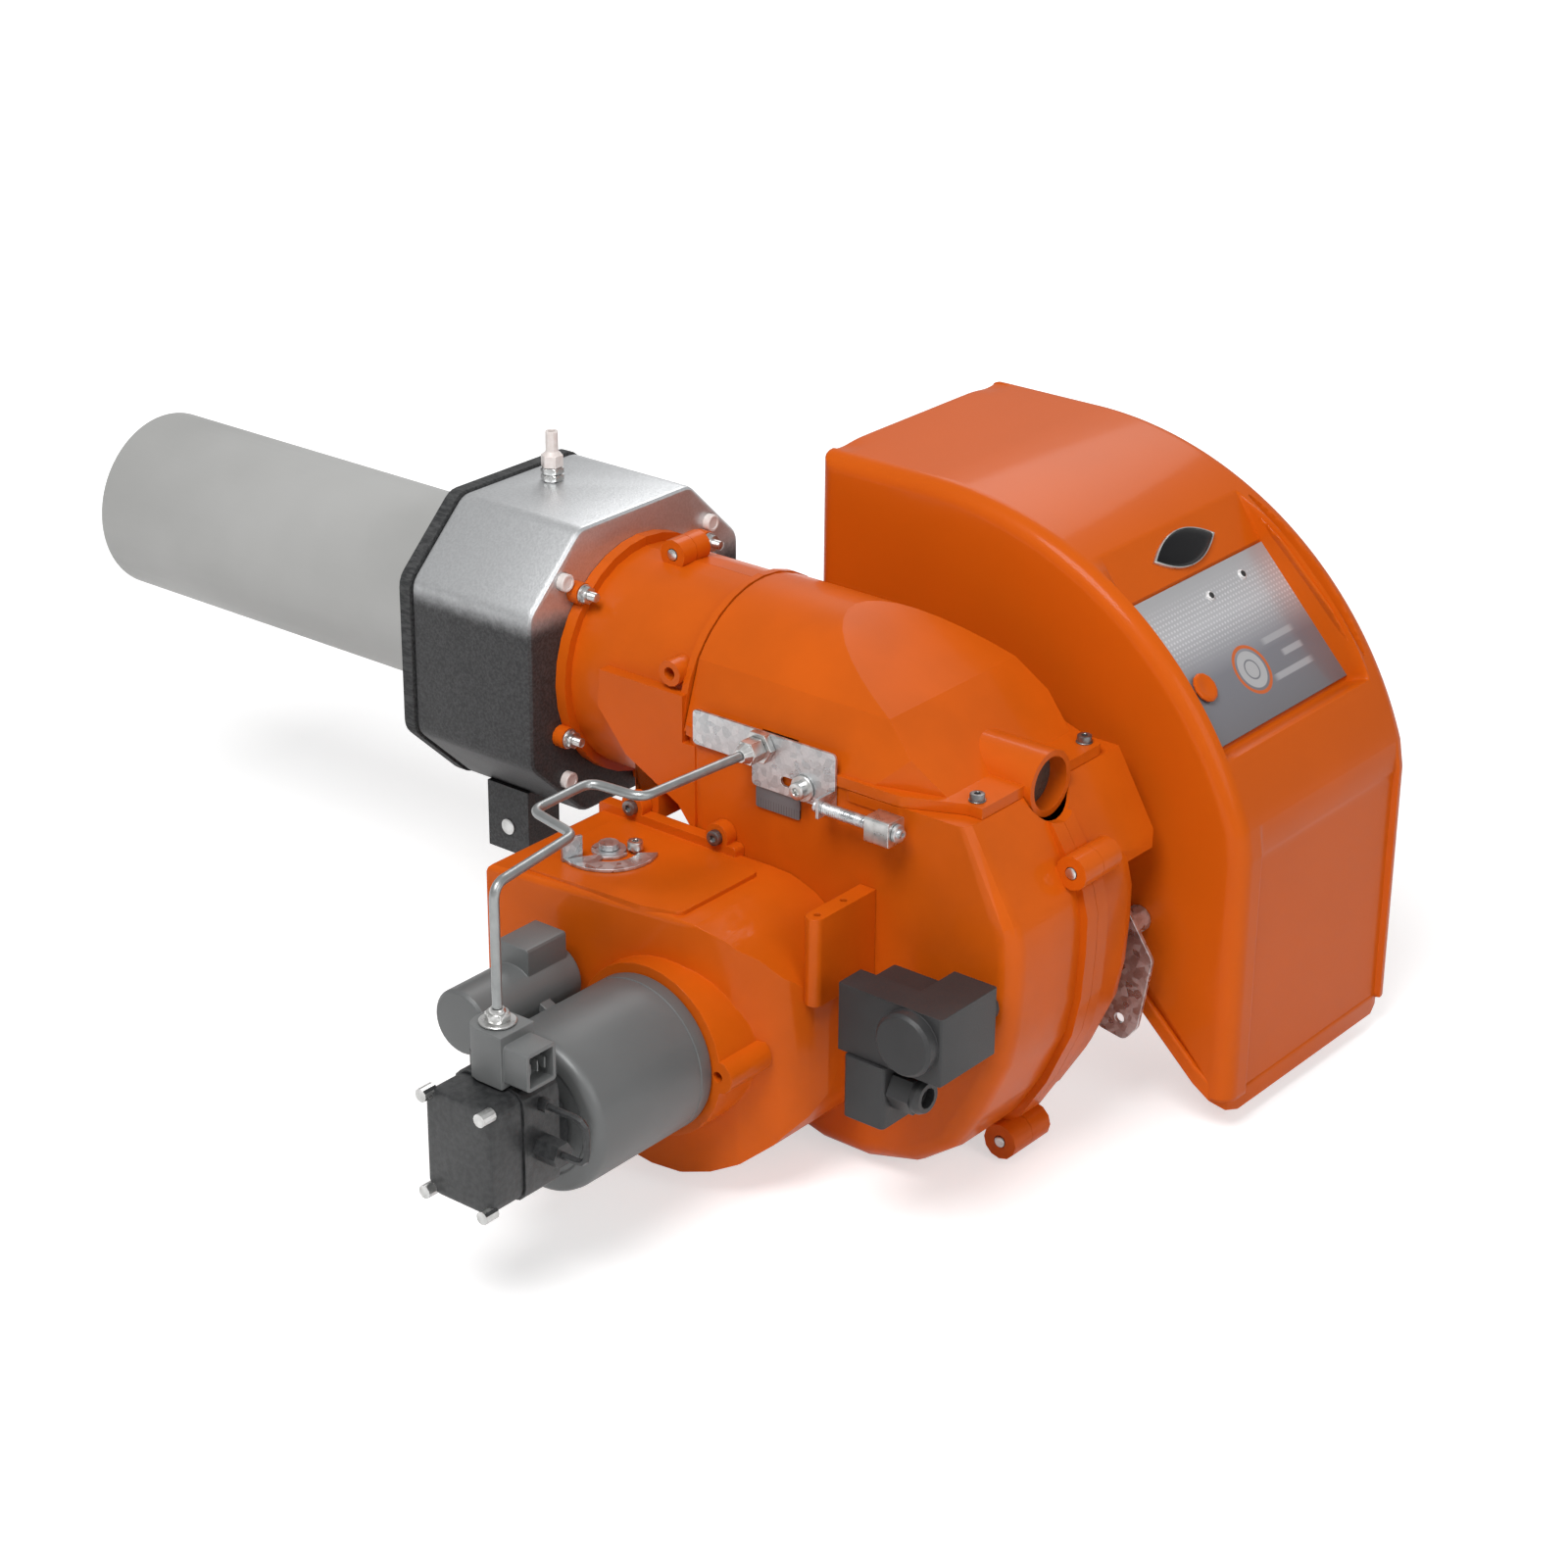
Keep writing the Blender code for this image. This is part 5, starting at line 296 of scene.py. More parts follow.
class Finish(Graph):
    """A material made of a Principled shader and the nodes that feed it."""

    def __init__(self, name, **constants):
        self.material = bpy.data.materials.new(name)
        self.material.use_nodes = True
        super().__init__(self.material.node_tree)
        self.shader = self.tree.nodes["Principled BSDF"]
        for key, value in constants.items():
            label = key.replace("_", " ").title().replace("Ior", "IOR")
            self.shader.inputs[label].default_value = (*value, 1.0) if isinstance(value, tuple) else value
        if "base_color" in constants:
            self.material.diffuse_color = (*constants["base_color"], 1.0)
        self.place = self.node("ShaderNodeTexCoord", {}, {}, "Object")

    def feed(self, name, value):
        self.tree.links.new(value.socket, self.shader.inputs[name])

    def noise(self, scale, detail=3.0, roughness=0.5, stretch=None):
        place = self.place
        if stretch:
            place = self.node("ShaderNodeMapping", {}, {"Vector": place, "Scale": stretch})
        return self.node("ShaderNodeTexNoise", {}, {"Vector": place, "Scale": scale, "Detail": detail,
                                                    "Roughness": roughness}, "Fac")

    def axis(self, letter):
        return self.node("ShaderNodeSeparateXYZ", {}, {0: self.place}, letter)

    def blend(self, share, first, second):
        return self.node("ShaderNodeMix", {"data_type": "RGBA"}, {0: share, 6: first, 7: second}, 2)

    def shades(self, share, *stops):
        return self.node("ShaderNodeValToRGB", {"stops": stops}, {0: share}, "Color")

    def dressed(self, colour, rough, height, distance, strength):
        """The material, with the colour and roughness that are given and with bumps of that height."""
        made = self.node("ShaderNodeBump", {}, {"Strength": strength, "Distance": distance, "Height": height}, "Normal")
        for name, value in (("Base Color", colour), ("Roughness", rough), ("Normal", made)):
            if value is not None:
                self.feed(name, value)
        return self.material


def look():
    return bpy.context.scene.burner_look


def scaled(colour, share):
    return tuple(float(min(1.0, c * share)) for c in colour)


# Each finish is made once and kept for all the pieces that share it.

@cache
def orange_coat():
    """Powder coat on a casting: fine orange-peel bumps, soft clouds in the colour, a clear gloss."""
    tone = tuple(look().orange)
    finish = Finish("orange_powder_coat", base_color=tone, roughness=0.38, coat_weight=0.14, coat_roughness=0.09,
                    specular_ior_level=0.08)
    cloud, peel = finish.noise(14, 4), finish.noise(900, 2)
    colour = finish.blend(cloud.rise(0.3, 0.7), scaled(tone, 0.93), scaled(tone, 1.06))
    return finish.dressed(colour, 0.30 + cloud * 0.05 + peel * 0.06, peel + cloud * 0.4, 0.00010, 0.35)


@cache
def orange_shell():
    """Moulded, painted sheet of the hood: smoother than the castings, with a faint grain."""
    tone = tuple(look().orange)
    finish = Finish("orange_hood_plastic", base_color=tone, roughness=0.38, coat_weight=0.12, coat_roughness=0.10,
                    specular_ior_level=0.06)
    cloud, grain = finish.noise(6, 3), finish.noise(1400, 2)
    colour = finish.blend(cloud.rise(0.25, 0.75), scaled(tone, 0.95), scaled(tone, 1.04))
    return finish.dressed(colour, 0.30 + grain * 0.10, grain, 0.00006, 0.30)


@cache
def cast_block():
    """Sand-cast block: bright blasted metal above a soft line at the top of the sides; below it the sides carry a
    painted dark reflection with a rough grain, and are less metallic and rougher.
    """
    finish = Finish("cast_block", base_color=(0.5, 0.5, 0.5), metallic=0.75, roughness=0.42)
    coarse, fine = finish.noise(170, 4, 0.6), finish.noise(620, 3, 0.6)
    # The soft line is a height in Z with a noisy edge; it parts the bright metal top from the sides' painted dark
    # reflection.
    height = finish.axis("Z") + (coarse - 0.5) * 0.006
    bright = height.rise(0.036, 0.056)
    # Painted reflection: the near-black grain below the line stands in for dark surroundings mirrored in the metal
    # sides.
    dark = finish.blend(fine.rise(0.3, 0.75), (0.030, 0.030, 0.031), (0.072, 0.072, 0.074))
    pale = finish.blend(fine.rise(0.3, 0.7), (0.55, 0.56, 0.57), (0.63, 0.64, 0.65))
    finish.feed("Metallic", 0.45 + bright * 0.45)
    return finish.dressed(finish.blend(bright, dark, pale), 0.48 - bright * 0.12 + fine * 0.10,
                          coarse * 0.5 + fine * 0.7, 0.0004, 0.4)


@cache
def tube_sheet():
    """Rolled sheet: pale grey with faint drawn lines along the tube."""
    finish = Finish("tube_sheet", base_color=(0.44, 0.44, 0.43), metallic=0.15, roughness=0.5)
    lines, cloud = finish.noise(260, 2, 0.5, (1.0, 0.04, 1.0)), finish.noise(7, 3)
    colour = finish.blend(cloud.rise(0.3, 0.7), (0.41, 0.41, 0.40), (0.47, 0.47, 0.46))
    return finish.dressed(colour, 0.44 + lines * 0.14, lines, 0.00008, 0.25)


@cache
def fibre_board():
    """Gasket: dark board with fibres pressed along it."""
    finish = Finish("gasket_board", base_color=(0.035, 0.036, 0.037), roughness=0.85)
    fibre, speck = finish.noise(500, 4, 0.65, (1.0, 0.25, 1.0)), finish.noise(1300, 2)
    colour = finish.blend(fibre.rise(0.35, 0.65), (0.022, 0.023, 0.024), (0.060, 0.061, 0.062))
    return finish.dressed(colour, 0.78 + speck * 0.16, fibre, 0.0003, 0.5)


@cache
def galvanised():
    """Zinc spangle: flat crystals of differing brightness, with a fine grain between."""
    finish = Finish("galvanised_sheet", base_color=(0.56, 0.57, 0.57), metallic=0.85, roughness=0.32)
    crystal = finish.node("ShaderNodeTexVoronoi", {}, {"Vector": finish.place, "Scale": 230}, "Color")
    shade = finish.node("ShaderNodeSeparateColor", {}, {0: crystal}, 0)
    grain = finish.noise(700, 3)
    colour = finish.blend(shade * 0.6 + grain * 0.4, (0.34, 0.35, 0.36), (0.74, 0.75, 0.76))
    return finish.dressed(colour, 0.26 + shade * 0.2, shade * 0.5 + grain, 0.00025, 0.55)


@cache
def zinc_plate():
    """Plated fasteners: bright, with turned marks finer than a tenth of a millimetre."""
    finish = Finish("zinc_plate", base_color=(0.60, 0.60, 0.59), metallic=0.95, roughness=0.28)
    mark, patch = finish.noise(2400, 2), finish.noise(160, 3)
    colour = finish.blend(patch.rise(0.3, 0.7), (0.50, 0.50, 0.49), (0.68, 0.68, 0.67))
    return finish.dressed(colour, 0.22 + patch * 0.14, mark, 0.00004, 0.4)


@cache
def screw_steel():
    """Blackened heads of the socket screws on the castings."""
    finish = Finish("screw_steel", base_color=(0.20, 0.20, 0.20), metallic=0.9, roughness=0.38)
    mark, patch = finish.noise(2000, 2), finish.noise(140, 3)
    colour = finish.blend(patch.rise(0.3, 0.7), (0.15, 0.15, 0.15), (0.27, 0.27, 0.27))
    return finish.dressed(colour, 0.32 + patch * 0.12, mark, 0.00004, 0.4)


@cache
def pipe_steel():
    finish = Finish("pipe_steel", base_color=(0.30, 0.31, 0.31), metallic=0.8, roughness=0.34)
    patch, grain = finish.noise(90, 3), finish.noise(1800, 2)
    colour = finish.blend(patch, (0.22, 0.23, 0.23), (0.40, 0.41, 0.41))
    return finish.dressed(colour, 0.28 + grain * 0.14, grain, 0.00004, 0.4)


@cache
def grey_enamel():
    """Satin grey enamel of the motor and its capacitor."""
    tone = tuple(look().motor_grey)
    finish = Finish("grey_enamel", base_color=tone, metallic=0.25, roughness=0.42)
    cloud, grain = finish.noise(11, 3), finish.noise(1000, 2)
    colour = finish.blend(cloud.rise(0.3, 0.7), scaled(tone, 0.9), scaled(tone, 1.1))
    return finish.dressed(colour, 0.38 + grain * 0.10, grain, 0.00008, 0.3)


@cache
def black_casting():
    finish = Finish("pump_casting", base_color=(0.020, 0.021, 0.022), roughness=0.42, coat_weight=0.15)
    skin, grain = finish.noise(260, 4, 0.6), finish.noise(900, 2)
    colour = finish.blend(skin.rise(0.3, 0.7), (0.014, 0.015, 0.016), (0.034, 0.035, 0.036))
    return finish.dressed(colour, 0.36 + grain * 0.16, skin + grain * 0.5, 0.00018, 0.45)


@cache
def coil_moulding():
    finish = Finish("coil_moulding", base_color=(0.145, 0.150, 0.150), roughness=0.45)
    grain, cloud = finish.noise(1200, 3), finish.noise(60, 2)
    colour = finish.blend(cloud, (0.125, 0.130, 0.130), (0.165, 0.170, 0.170))
    return finish.dressed(colour, 0.40 + grain * 0.14, grain, 0.00008, 0.4)


@cache
def black_moulding():
    finish = Finish("switch_moulding", base_color=(0.026, 0.026, 0.027), roughness=0.48)
    grain, cloud = finish.noise(1100, 3), finish.noise(40, 2)
    colour = finish.blend(cloud, (0.022, 0.022, 0.023), (0.033, 0.033, 0.034))
    return finish.dressed(colour, 0.42 + grain * 0.16, grain, 0.0001, 0.45)


@cache
def stud_plastic():
    """Pale caps of the boiler studs: milky, a little pink towards the core."""
    finish = Finish("stud_cap", base_color=(0.74, 0.66, 0.62), roughness=0.28, coat_weight=0.3)
    cloud = finish.noise(300, 3)
    return finish.dressed(finish.blend(cloud, (0.66, 0.56, 0.52), (0.84, 0.80, 0.78)), None, cloud, 0.0001, 0.3)


@cache
def turned_brass():
    finish = Finish("turned_brass", base_color=(0.60, 0.42, 0.16), metallic=0.95, roughness=0.3)
    mark = finish.noise(900, 3, 0.5, (1.0, 0.1, 1.0))
    colour = finish.blend(mark, (0.52, 0.36, 0.13), (0.66, 0.48, 0.20))
    return finish.dressed(colour, 0.24 + mark * 0.16, mark, 0.00005, 0.4)


@cache
def heat_steel():
    """Flame disc: steel tinted by heat, from brown over straw to a cold grey."""
    finish = Finish("heat_tinted_steel", base_color=(0.40, 0.36, 0.32), metallic=0.9, roughness=0.4)
    cloud, grain = finish.noise(45, 4), finish.noise(1500, 2)
    colour = finish.shades(cloud, (0.25, (0.30, 0.24, 0.20)), (0.5, (0.45, 0.41, 0.36)), (0.75, (0.34, 0.35, 0.40)))
    return finish.dressed(colour, 0.34 + grain * 0.14, grain, 0.00005, 0.4)


@cache
def glazed_ceramic():
    finish = Finish("glazed_ceramic", base_color=(0.82, 0.80, 0.74), roughness=0.2, coat_weight=0.5)
    cloud = finish.noise(120, 3)
    return finish.dressed(finish.blend(cloud, (0.78, 0.75, 0.68), (0.88, 0.86, 0.81)), None, cloud, 0.00006, 0.3)


@cache
def clear_glass():
    finish = Finish("sight_glass", base_color=(0.05, 0.055, 0.05), roughness=0.08, coat_weight=0.6)
    smear = finish.noise(70, 3)
    return finish.dressed(None, 0.05 + smear * 0.09, smear, 0.00004, 0.2)


@cache
def fan_alloy():
    finish = Finish("fan_alloy", base_color=(0.58, 0.59, 0.60), metallic=0.9, roughness=0.38)
    skin = finish.noise(300, 4)
    colour = finish.blend(skin, (0.50, 0.51, 0.52), (0.66, 0.67, 0.68))
    return finish.dressed(colour, 0.32 + skin * 0.14, skin, 0.0001, 0.4)


@cache
def scale_strip():
    """Grey index strip: fine ruled marks two millimetres apart."""
    finish = Finish("index_strip", base_color=(0.20, 0.21, 0.22), metallic=0.3, roughness=0.45)
    mark = (finish.axis("Y") * (2 * np.pi / 0.002)).wave().rise(0.86, 0.98)
    short = 1 - finish.axis("Z").rise(-0.0285, -0.0275)
    colour = finish.blend(mark * short, (0.16, 0.17, 0.18), (0.05, 0.05, 0.055))
    return finish.dressed(colour, None, finish.noise(900, 2), 0.00006, 0.4)


@cache
def lens_dark():
    finish = Finish("badge_lens", base_color=(0.006, 0.006, 0.007), roughness=0.22, specular_ior_level=0.2)
    cloud = finish.noise(80, 2)
    return finish.dressed(None, 0.20 + cloud * 0.06, cloud, 0.00004, 0.2)


@cache
def printed_plate():
    """Printed sheet. u runs across the plate and v down it, in metres: grey fading down, a field of pale
    dots in its upper half, and a plain pattern of rings and bars in its lower half."""
    finish = Finish("printed_plate", base_color=(0.28, 0.28, 0.30), metallic=0.2, roughness=0.34, coat_weight=0.3)
    top, down = FACE["top"], FACE["down"]
    u = finish.axis("X") - FACE["left"]
    v = (finish.axis("Y") - top[0]) * down[0] + (finish.axis("Z") - top[1]) * down[1]
    ground = finish.shades(v / FACE["length"], (0.0, (0.40, 0.40, 0.41)), (0.30, (0.50, 0.50, 0.52)),
                           (0.62, (0.20, 0.20, 0.225)), (1.0, (0.17, 0.17, 0.185)))
    pitch = 2 * np.pi / 0.0046
    dots = ((u + v) * pitch * 0.707).wave() * ((u - v) * pitch * 0.707).wave()
    dotted = dots.rise(0.15, 0.75) * v.rise(0.004, 0.020) * (1 - v.rise(0.034, 0.056))

    def away(across, down):
        return ((u - across) ** 2.0 + (v - down) ** 2.0) ** 0.5

    def disc(across, down, inner, outer):
        return 1 - away(across, down).rise(inner, outer)

    def band(reading, middle, half):
        return 1 - (reading - middle).size().rise(half * 0.8, half * 1.2)

    ring = away(0.074, 0.070)
    prints = [(dotted * 0.55, (0.80, 0.80, 0.82)), (1 - ring.rise(0.0125, 0.0132), (0.46, 0.46, 0.47)),
              (band(ring, 0.0160, 0.0012), (0.62, 0.12, 0.015)), (band(ring, 0.0065, 0.0006), (0.20, 0.20, 0.22))]
    for across, down, half in ((0.116, 0.058, 0.017), (0.122, 0.070, 0.011), (0.112, 0.082, 0.021)):
        prints.append((band(u, across, half) * band(v, down, 0.0022), (0.40, 0.40, 0.42)))
    for spot in LAMP_SPOTS:
        prints.append((disc(*spot, 0.0034, 0.0038), (0.72, 0.72, 0.72)))
        prints.append((disc(*spot, 0.0021, 0.0025), (0.012, 0.012, 0.012)))
    for share, tone in prints:
        ground = finish.blend(share, ground, tone)
    return finish.dressed(ground, 0.30 + dotted * 0.10, dotted, 0.00006, 0.3)


# ---- putting pieces on their bodies

def boxed(node):
    """Lower corner, upper corner and middle of a CAD node."""
    low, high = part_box(node)
    return low, high, (low + high) / 2


def numbered(stem, count):
    """Name and box of each of the nodes that share a stem."""
    return [(f"{stem}_{number}", *boxed(f"{stem}_{number}")) for number in range(1, count + 1)]


def placed(piece, material):
    """Links the piece and gives it its one material."""
    bpy.context.scene.collection.objects.link(piece)
    piece.data.materials.clear()
    piece.data.materials.append(material)
    return piece


def object_of(name, grids, material):
    return placed(bpy.data.objects.new(name, mesh_from(name, grids)), material)


def stand_for(piece, node):
    """Lets the piece ride and stand for its CAD node."""
    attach(piece, BODY_OF[node])
    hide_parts(node)
    return piece


def piece_of(node, grids, material):
    return stand_for(object_of(node + "_finished", grids, material), node)


def turned(node, spot, direction, material, *profiles):
    """A piece of turned surfaces round one axis."""
    return piece_of(node, [lathe(spot, direction, rows) for rows in profiles], material)


def refined(node, bevel, material, segments=2, turn=None):
    """A copy of a CAD node: its triangles merged into flat faces and its edges eased by the bevel. Edges that
    turn more than the angle stay sharp and are the eased ones."""
    name = node + "_finished"
    mesh = NODES[node].data.copy()
    mesh.name = name
    work = bmesh.new()
    work.from_mesh(mesh)
    bmesh.ops.remove_doubles(work, verts=work.verts, dist=WELD)
    bmesh.ops.dissolve_limit(work, angle_limit=FLAT_TURN, verts=work.verts, edges=work.edges)
    work.to_mesh(mesh)
    work.free()
    for attribute in [a for a in mesh.attributes if a.name in ("custom_normal", "sharp_edge", "sharp_face")]:
        mesh.attributes.remove(attribute)
    smooth(mesh, turn or SHARP)
    piece = bpy.data.objects.new(name, mesh)
    edges = piece.modifiers.new("eased_edges", "BEVEL")
    edges.width, edges.segments, edges.limit_method, edges.angle_limit = bevel, segments, "ANGLE", turn or BEVEL_TURN
    edges.harden_normals, edges.use_clamp_overlap, edges.miter_outer = True, True, "MITER_ARC"
    if turn:
        even = piece.modifiers.new("even_normals", "WEIGHTED_NORMAL")
        even.keep_sharp, even.weight = True, 100
    return stand_for(placed(piece, material), node)


# ---- hood

FACE = {"left": 0.120, "width": 0.156, "length": 0.103, "thick": 0.002,
        "top": np.array((-0.4095, 0.067)),
        "down": np.array((-np.cos(np.radians(47)), -np.sin(np.radians(47))))}
FACE["normal"] = np.array((FACE["down"][1], -FACE["down"][0]))
LAMP_SPOTS = tuple((FACE["width"] * a, FACE["length"] * d) for a, d in ((0.50, 0.16), (0.76, 0.13)))
BUTTON_SPOT = (FACE["width"] * 0.13, FACE["length"] * 0.64)


def ease(value, start, end):
    """0 before start, 1 after end, and 3t^2 - 2t^3 between."""
    t = np.clip((value - start) / (end - start), 0, 1)
    return t * t * (3 - 2 * t)


def hood_outline(size):
    """Side view of the hood as points in Y and Z: up the front, round its small top corner, along the arc
    y = centre + R cos a, z = centre + R sin a, and down the rear, each stretch evenly stepped."""
    front, rear, top, low = size.hood_front, size.hood_rear, size.hood_top, size.hood_low
    corner, arc_r = 0.005, size.hood_arc
    centre = np.array((-0.2675, top - arc_r))
    low_rear = low - (KNEE_Y - rear) * HOOD_SLOPE
    quarter = np.linspace(0, np.pi / 2, 7)
    turn = np.radians(np.linspace(90, 161, 190))
    return np.concatenate([
        np.stack([np.full(24, front), np.linspace(low, top - corner, 24)], 1),
        np.stack([front - corner + corner * np.cos(quarter), top - corner + corner * np.sin(quarter)], 1)[1:],
        np.stack([np.linspace(front - corner, centre[0], 22), np.full(22, top)], 1)[1:-1],
        np.stack([centre[0] + arc_r * np.cos(turn), centre[1] + arc_r * np.sin(turn)], 1),
        np.stack([np.full(60, rear), np.linspace(-0.068, low_rear, 60)], 1),
    ])


def hood_grid(size):
    """The hood as one sheet. A row is a point P of the side view with its normal N; the columns run from
    the left wall over the top to the right wall. On an edge of radius R at angle f the sheet stands at
    x = side + R - R sin f and at P - N (R - R cos f). Each wall runs straight from there to the bottom edge,
    and ends where it starts if that lies lower, so that the wall never folds back.
    Across the top the sheet is pressed in along the faceplate's normal to the faceplate's seat, and less at
    the groove beside it, and forward on the rear panel."""
    left, right, radius = size.hood_left, size.hood_left + size.hood_width, size.hood_edge
    outline = hood_outline(size)
    slope = np.gradient(outline, axis=0)
    slope /= np.maximum(np.linalg.norm(slope, axis=1, keepdims=True), 1e-9)
    normal = np.stack([slope[:, 1], -slope[:, 0]], 1)
    travel = np.concatenate([[0], np.cumsum(np.linalg.norm(np.diff(outline, axis=0), axis=1))])
    share = travel / travel[-1]

    def sunk(depth):
        inner = outline - normal * depth
        inner[:, 0] = np.clip(inner[:, 0], size.hood_rear + depth, size.hood_front - depth)
        inner[:, 1] = np.minimum(inner[:, 1], size.hood_top - depth)
        return inner

    turn = np.linspace(0, np.pi / 2, 8)
    edge = np.stack([sunk(radius * (1 - np.cos(f))) for f in turn], 1)
    edge_x = radius - radius * np.sin(turn)
    bottom_y = size.hood_front - radius + (size.hood_rear - size.hood_front + 2 * radius) * share
    slant = size.hood_low - np.maximum(KNEE_Y - bottom_y, 0) * HOOD_SLOPE
    bottom = np.stack([bottom_y, np.minimum(slant, edge[:, -1, 1])], 1)
    t = np.linspace(0, 1, 13)[1:, None]
    wall = edge[:, -1][:, None] * (1 - t) + bottom[:, None] * t
    margin, width = size.recess_margin, size.hood_width
    marks = (radius, margin + 0.003, width - margin - 0.003, width - margin + 0.002, width - radius)
    steps = [np.linspace(start, end, count)[1:] for start, end, count in zip(marks, marks[1:], (20, 64, 9, 18))]
    top_x = left + np.concatenate(steps)[:-1]
    middle = np.repeat(outline[:, None], len(top_x), axis=1)
    x = np.repeat(top_x[None], len(outline), axis=0)

    down, out, top = FACE["down"], FACE["normal"], FACE["top"]
    v = (middle - top) @ down
    height = (middle - top) @ out
    seat = -FACE["thick"] - 0.0004
    facet = np.interp(v, (-0.0369, -0.0006, -0.0002), (0.0044, 0.0002, seat))
    along = ease(v, -0.0372, -0.0366) * (1 - ease(v, FACE["length"] + 0.002, FACE["length"] + 0.011))
    inside = np.clip((x - left - radius) / (margin - radius), 0, 1)
    inside = inside * (1 - ease(x, right - margin - 0.0012, right - margin + 0.0012))
    on_face = (middle[..., 0] < -0.30) & (height > seat - 0.05)
    press = np.maximum(height - facet, 0) * along * inside * on_face
    button = np.hypot(x - FACE["left"] - BUTTON_SPOT[0], v - BUTTON_SPOT[1])
    press = press + 0.014 * (1 - ease(button, 0.0062, 0.0080)) * inside * on_face
    t = np.clip((v + 0.030) / 0.128, 0, 1)
    half = 0.0054 * np.sin(np.pi * t) ** 0.55 + 1e-6
    groove = np.clip(1 - ((x - (right - 0.0172)) / half) ** 2, 0, 1)
    press = press + size.groove_depth * ease(groove, 0, 1) * (np.sin(np.pi * t) > 0.02) * on_face
    rim = np.exp(-(((x - (right - margin + 0.0012)) / 0.0016) ** 2))
    press = press - 0.0009 * rim * ease(v, -0.03, 0.0) * (1 - ease(v, 0.09, 0.12)) * on_face
    middle = middle - press[..., None] * out
    rear = ease(-middle[..., 1], 0.060, 0.074) * ease(-middle[..., 0], -size.hood_rear - 0.006, -size.hood_rear - 0.001)
    panel = ease(x, left + 0.0225, left + 0.0265) * (1 - ease(x, right - 0.0145, right - 0.0125))
    middle[..., 0] += size.panel_inset * rear * panel
    dip = np.exp(-(((x - left - 0.022) / 0.012) ** 2)) + np.exp(-(((x - right + 0.022) / 0.012) ** 2))
    scoop = dip * ease(middle[..., 0], size.hood_front - 0.022, size.hood_front - 0.004)
    middle[..., 1] -= 0.0016 * scoop * ease(middle[..., 1], size.hood_top - 0.010, size.hood_top - 0.002)

    def sheet(side, points):
        return np.concatenate([np.broadcast_to(side, points.shape[:2])[..., None], points], axis=2)

    columns = [sheet(np.full(1, left), wall[:, ::-1]), sheet(left + edge_x[None, ::-1], edge[:, ::-1]), None,
               sheet(right - edge_x[None], edge), sheet(np.full(1, right), wall)]
    columns[2] = np.concatenate([x[..., None], middle], axis=2)
    return np.concatenate(columns, axis=1), False, False


def lens_edge(half_w, half_h, angle):
    """Distance from a lens's middle to its outline |v| = h (1 - (u / w)^2), in the direction of the angle."""
    bend = half_h * np.cos(angle) ** 2 / half_w ** 2
    rise = np.abs(np.sin(angle))
    return 2 * half_h / (rise + np.sqrt(rise ** 2 + 4 * bend * half_h))


def lens_grid(centre, across, up, out, half_w, half_h, rows):
    """Domed lens: row (share, lift) scales the outline by the share and stands off the seat by the lift."""
    angle = np.linspace(0, 2 * np.pi, 96, endpoint=False)
    reach = lens_edge(half_w, half_h, angle)
    rows = np.array(rows, float)
    flat = rows[:, 0:1] * reach
    grid = (np.array(centre) + (flat * np.cos(angle))[..., None] * across + (flat * np.sin(angle))[..., None] * up
            + rows[:, 1:2, None] * out)
    return grid, True, False


# ---- settings

def length(name, description, default):
    return bpy.props.FloatProperty(name=name, description=description, default=default, unit="LENGTH",
                                   subtype="DISTANCE", precision=4)


def colour(name, description, default):
    return bpy.props.FloatVectorProperty(name=name, description=description, default=default, size=3,
                                         subtype="COLOR", min=0.0, max=1.0)


class BurnerSizes(bpy.types.PropertyGroup):
    """Sizes of the pieces that are worked out here."""

    tube_radius: length("Tube radius", "Outer radius of the blast tube", 0.063)
    tube_wall: length("Tube wall", "Wall of the blast tube", 0.002)
    tube_end: length("Tube end", "Station of the blast tube's mouth", 0.3375)
    motor_radius: length("Motor radius", "Radius of the motor's shell", 0.0505)
    pipe_radius: length("Pipe radius", "Radius of the oil pipe", 0.003)
    rod_radius: length("Rod radius", "Radius of the adjusting screw's thread", 0.004)
    hood_left: length("Hood left", "Left side of the hood", 0.096)
    hood_width: length("Hood width", "Width of the hood", 0.204)
    hood_front: length("Hood front", "Station of the hood's front", -0.1835)
    hood_rear: length("Hood rear", "Station of the hood's rear", -0.5175)
    hood_top: length("Hood top", "Height of the hood's top", 0.126)
    hood_low: length("Hood bottom", "Height of the hood's lower edge at its front", -0.040)
    hood_arc: length("Hood arc", "Radius of the hood's curved top", 0.261)
    hood_edge: length("Hood edge", "Radius of the hood's long edges", 0.012)
    hood_wall: length("Hood wall", "Thickness of the hood", 0.0035)
    recess_margin: length("Recess margin", "From the hood's side to the faceplate's recess", 0.0235)
    groove_depth: length("Groove depth", "Depth of the hand groove beside the faceplate", 0.0085)
    panel_inset: length("Panel inset", "How far the hood's rear panel is set in", 0.0036)


class BurnerLook(bpy.types.PropertyGroup):
    """Colours of the main finishes."""

    orange: colour("Orange", "Colour of the castings and the hood", (0.60, 0.100, 0.0040))
    motor_grey: colour("Motor grey", "Colour of the motor and capacitor", (0.150, 0.155, 0.155))
    lamp_level: bpy.props.FloatProperty(name="Lamp level", default=1.0,
                                        description="Share of the studio lamps' power")
    sky_level: bpy.props.FloatProperty(name="Sky level", default=0.24,
                                       description="Strength of the soft light all round")


# ---- operators

class Maker:
    bl_options = {"REGISTER", "UNDO"}

    def execute(self, context):
        self.make(context.scene.burner_sizes)
        return {"FINISHED"}


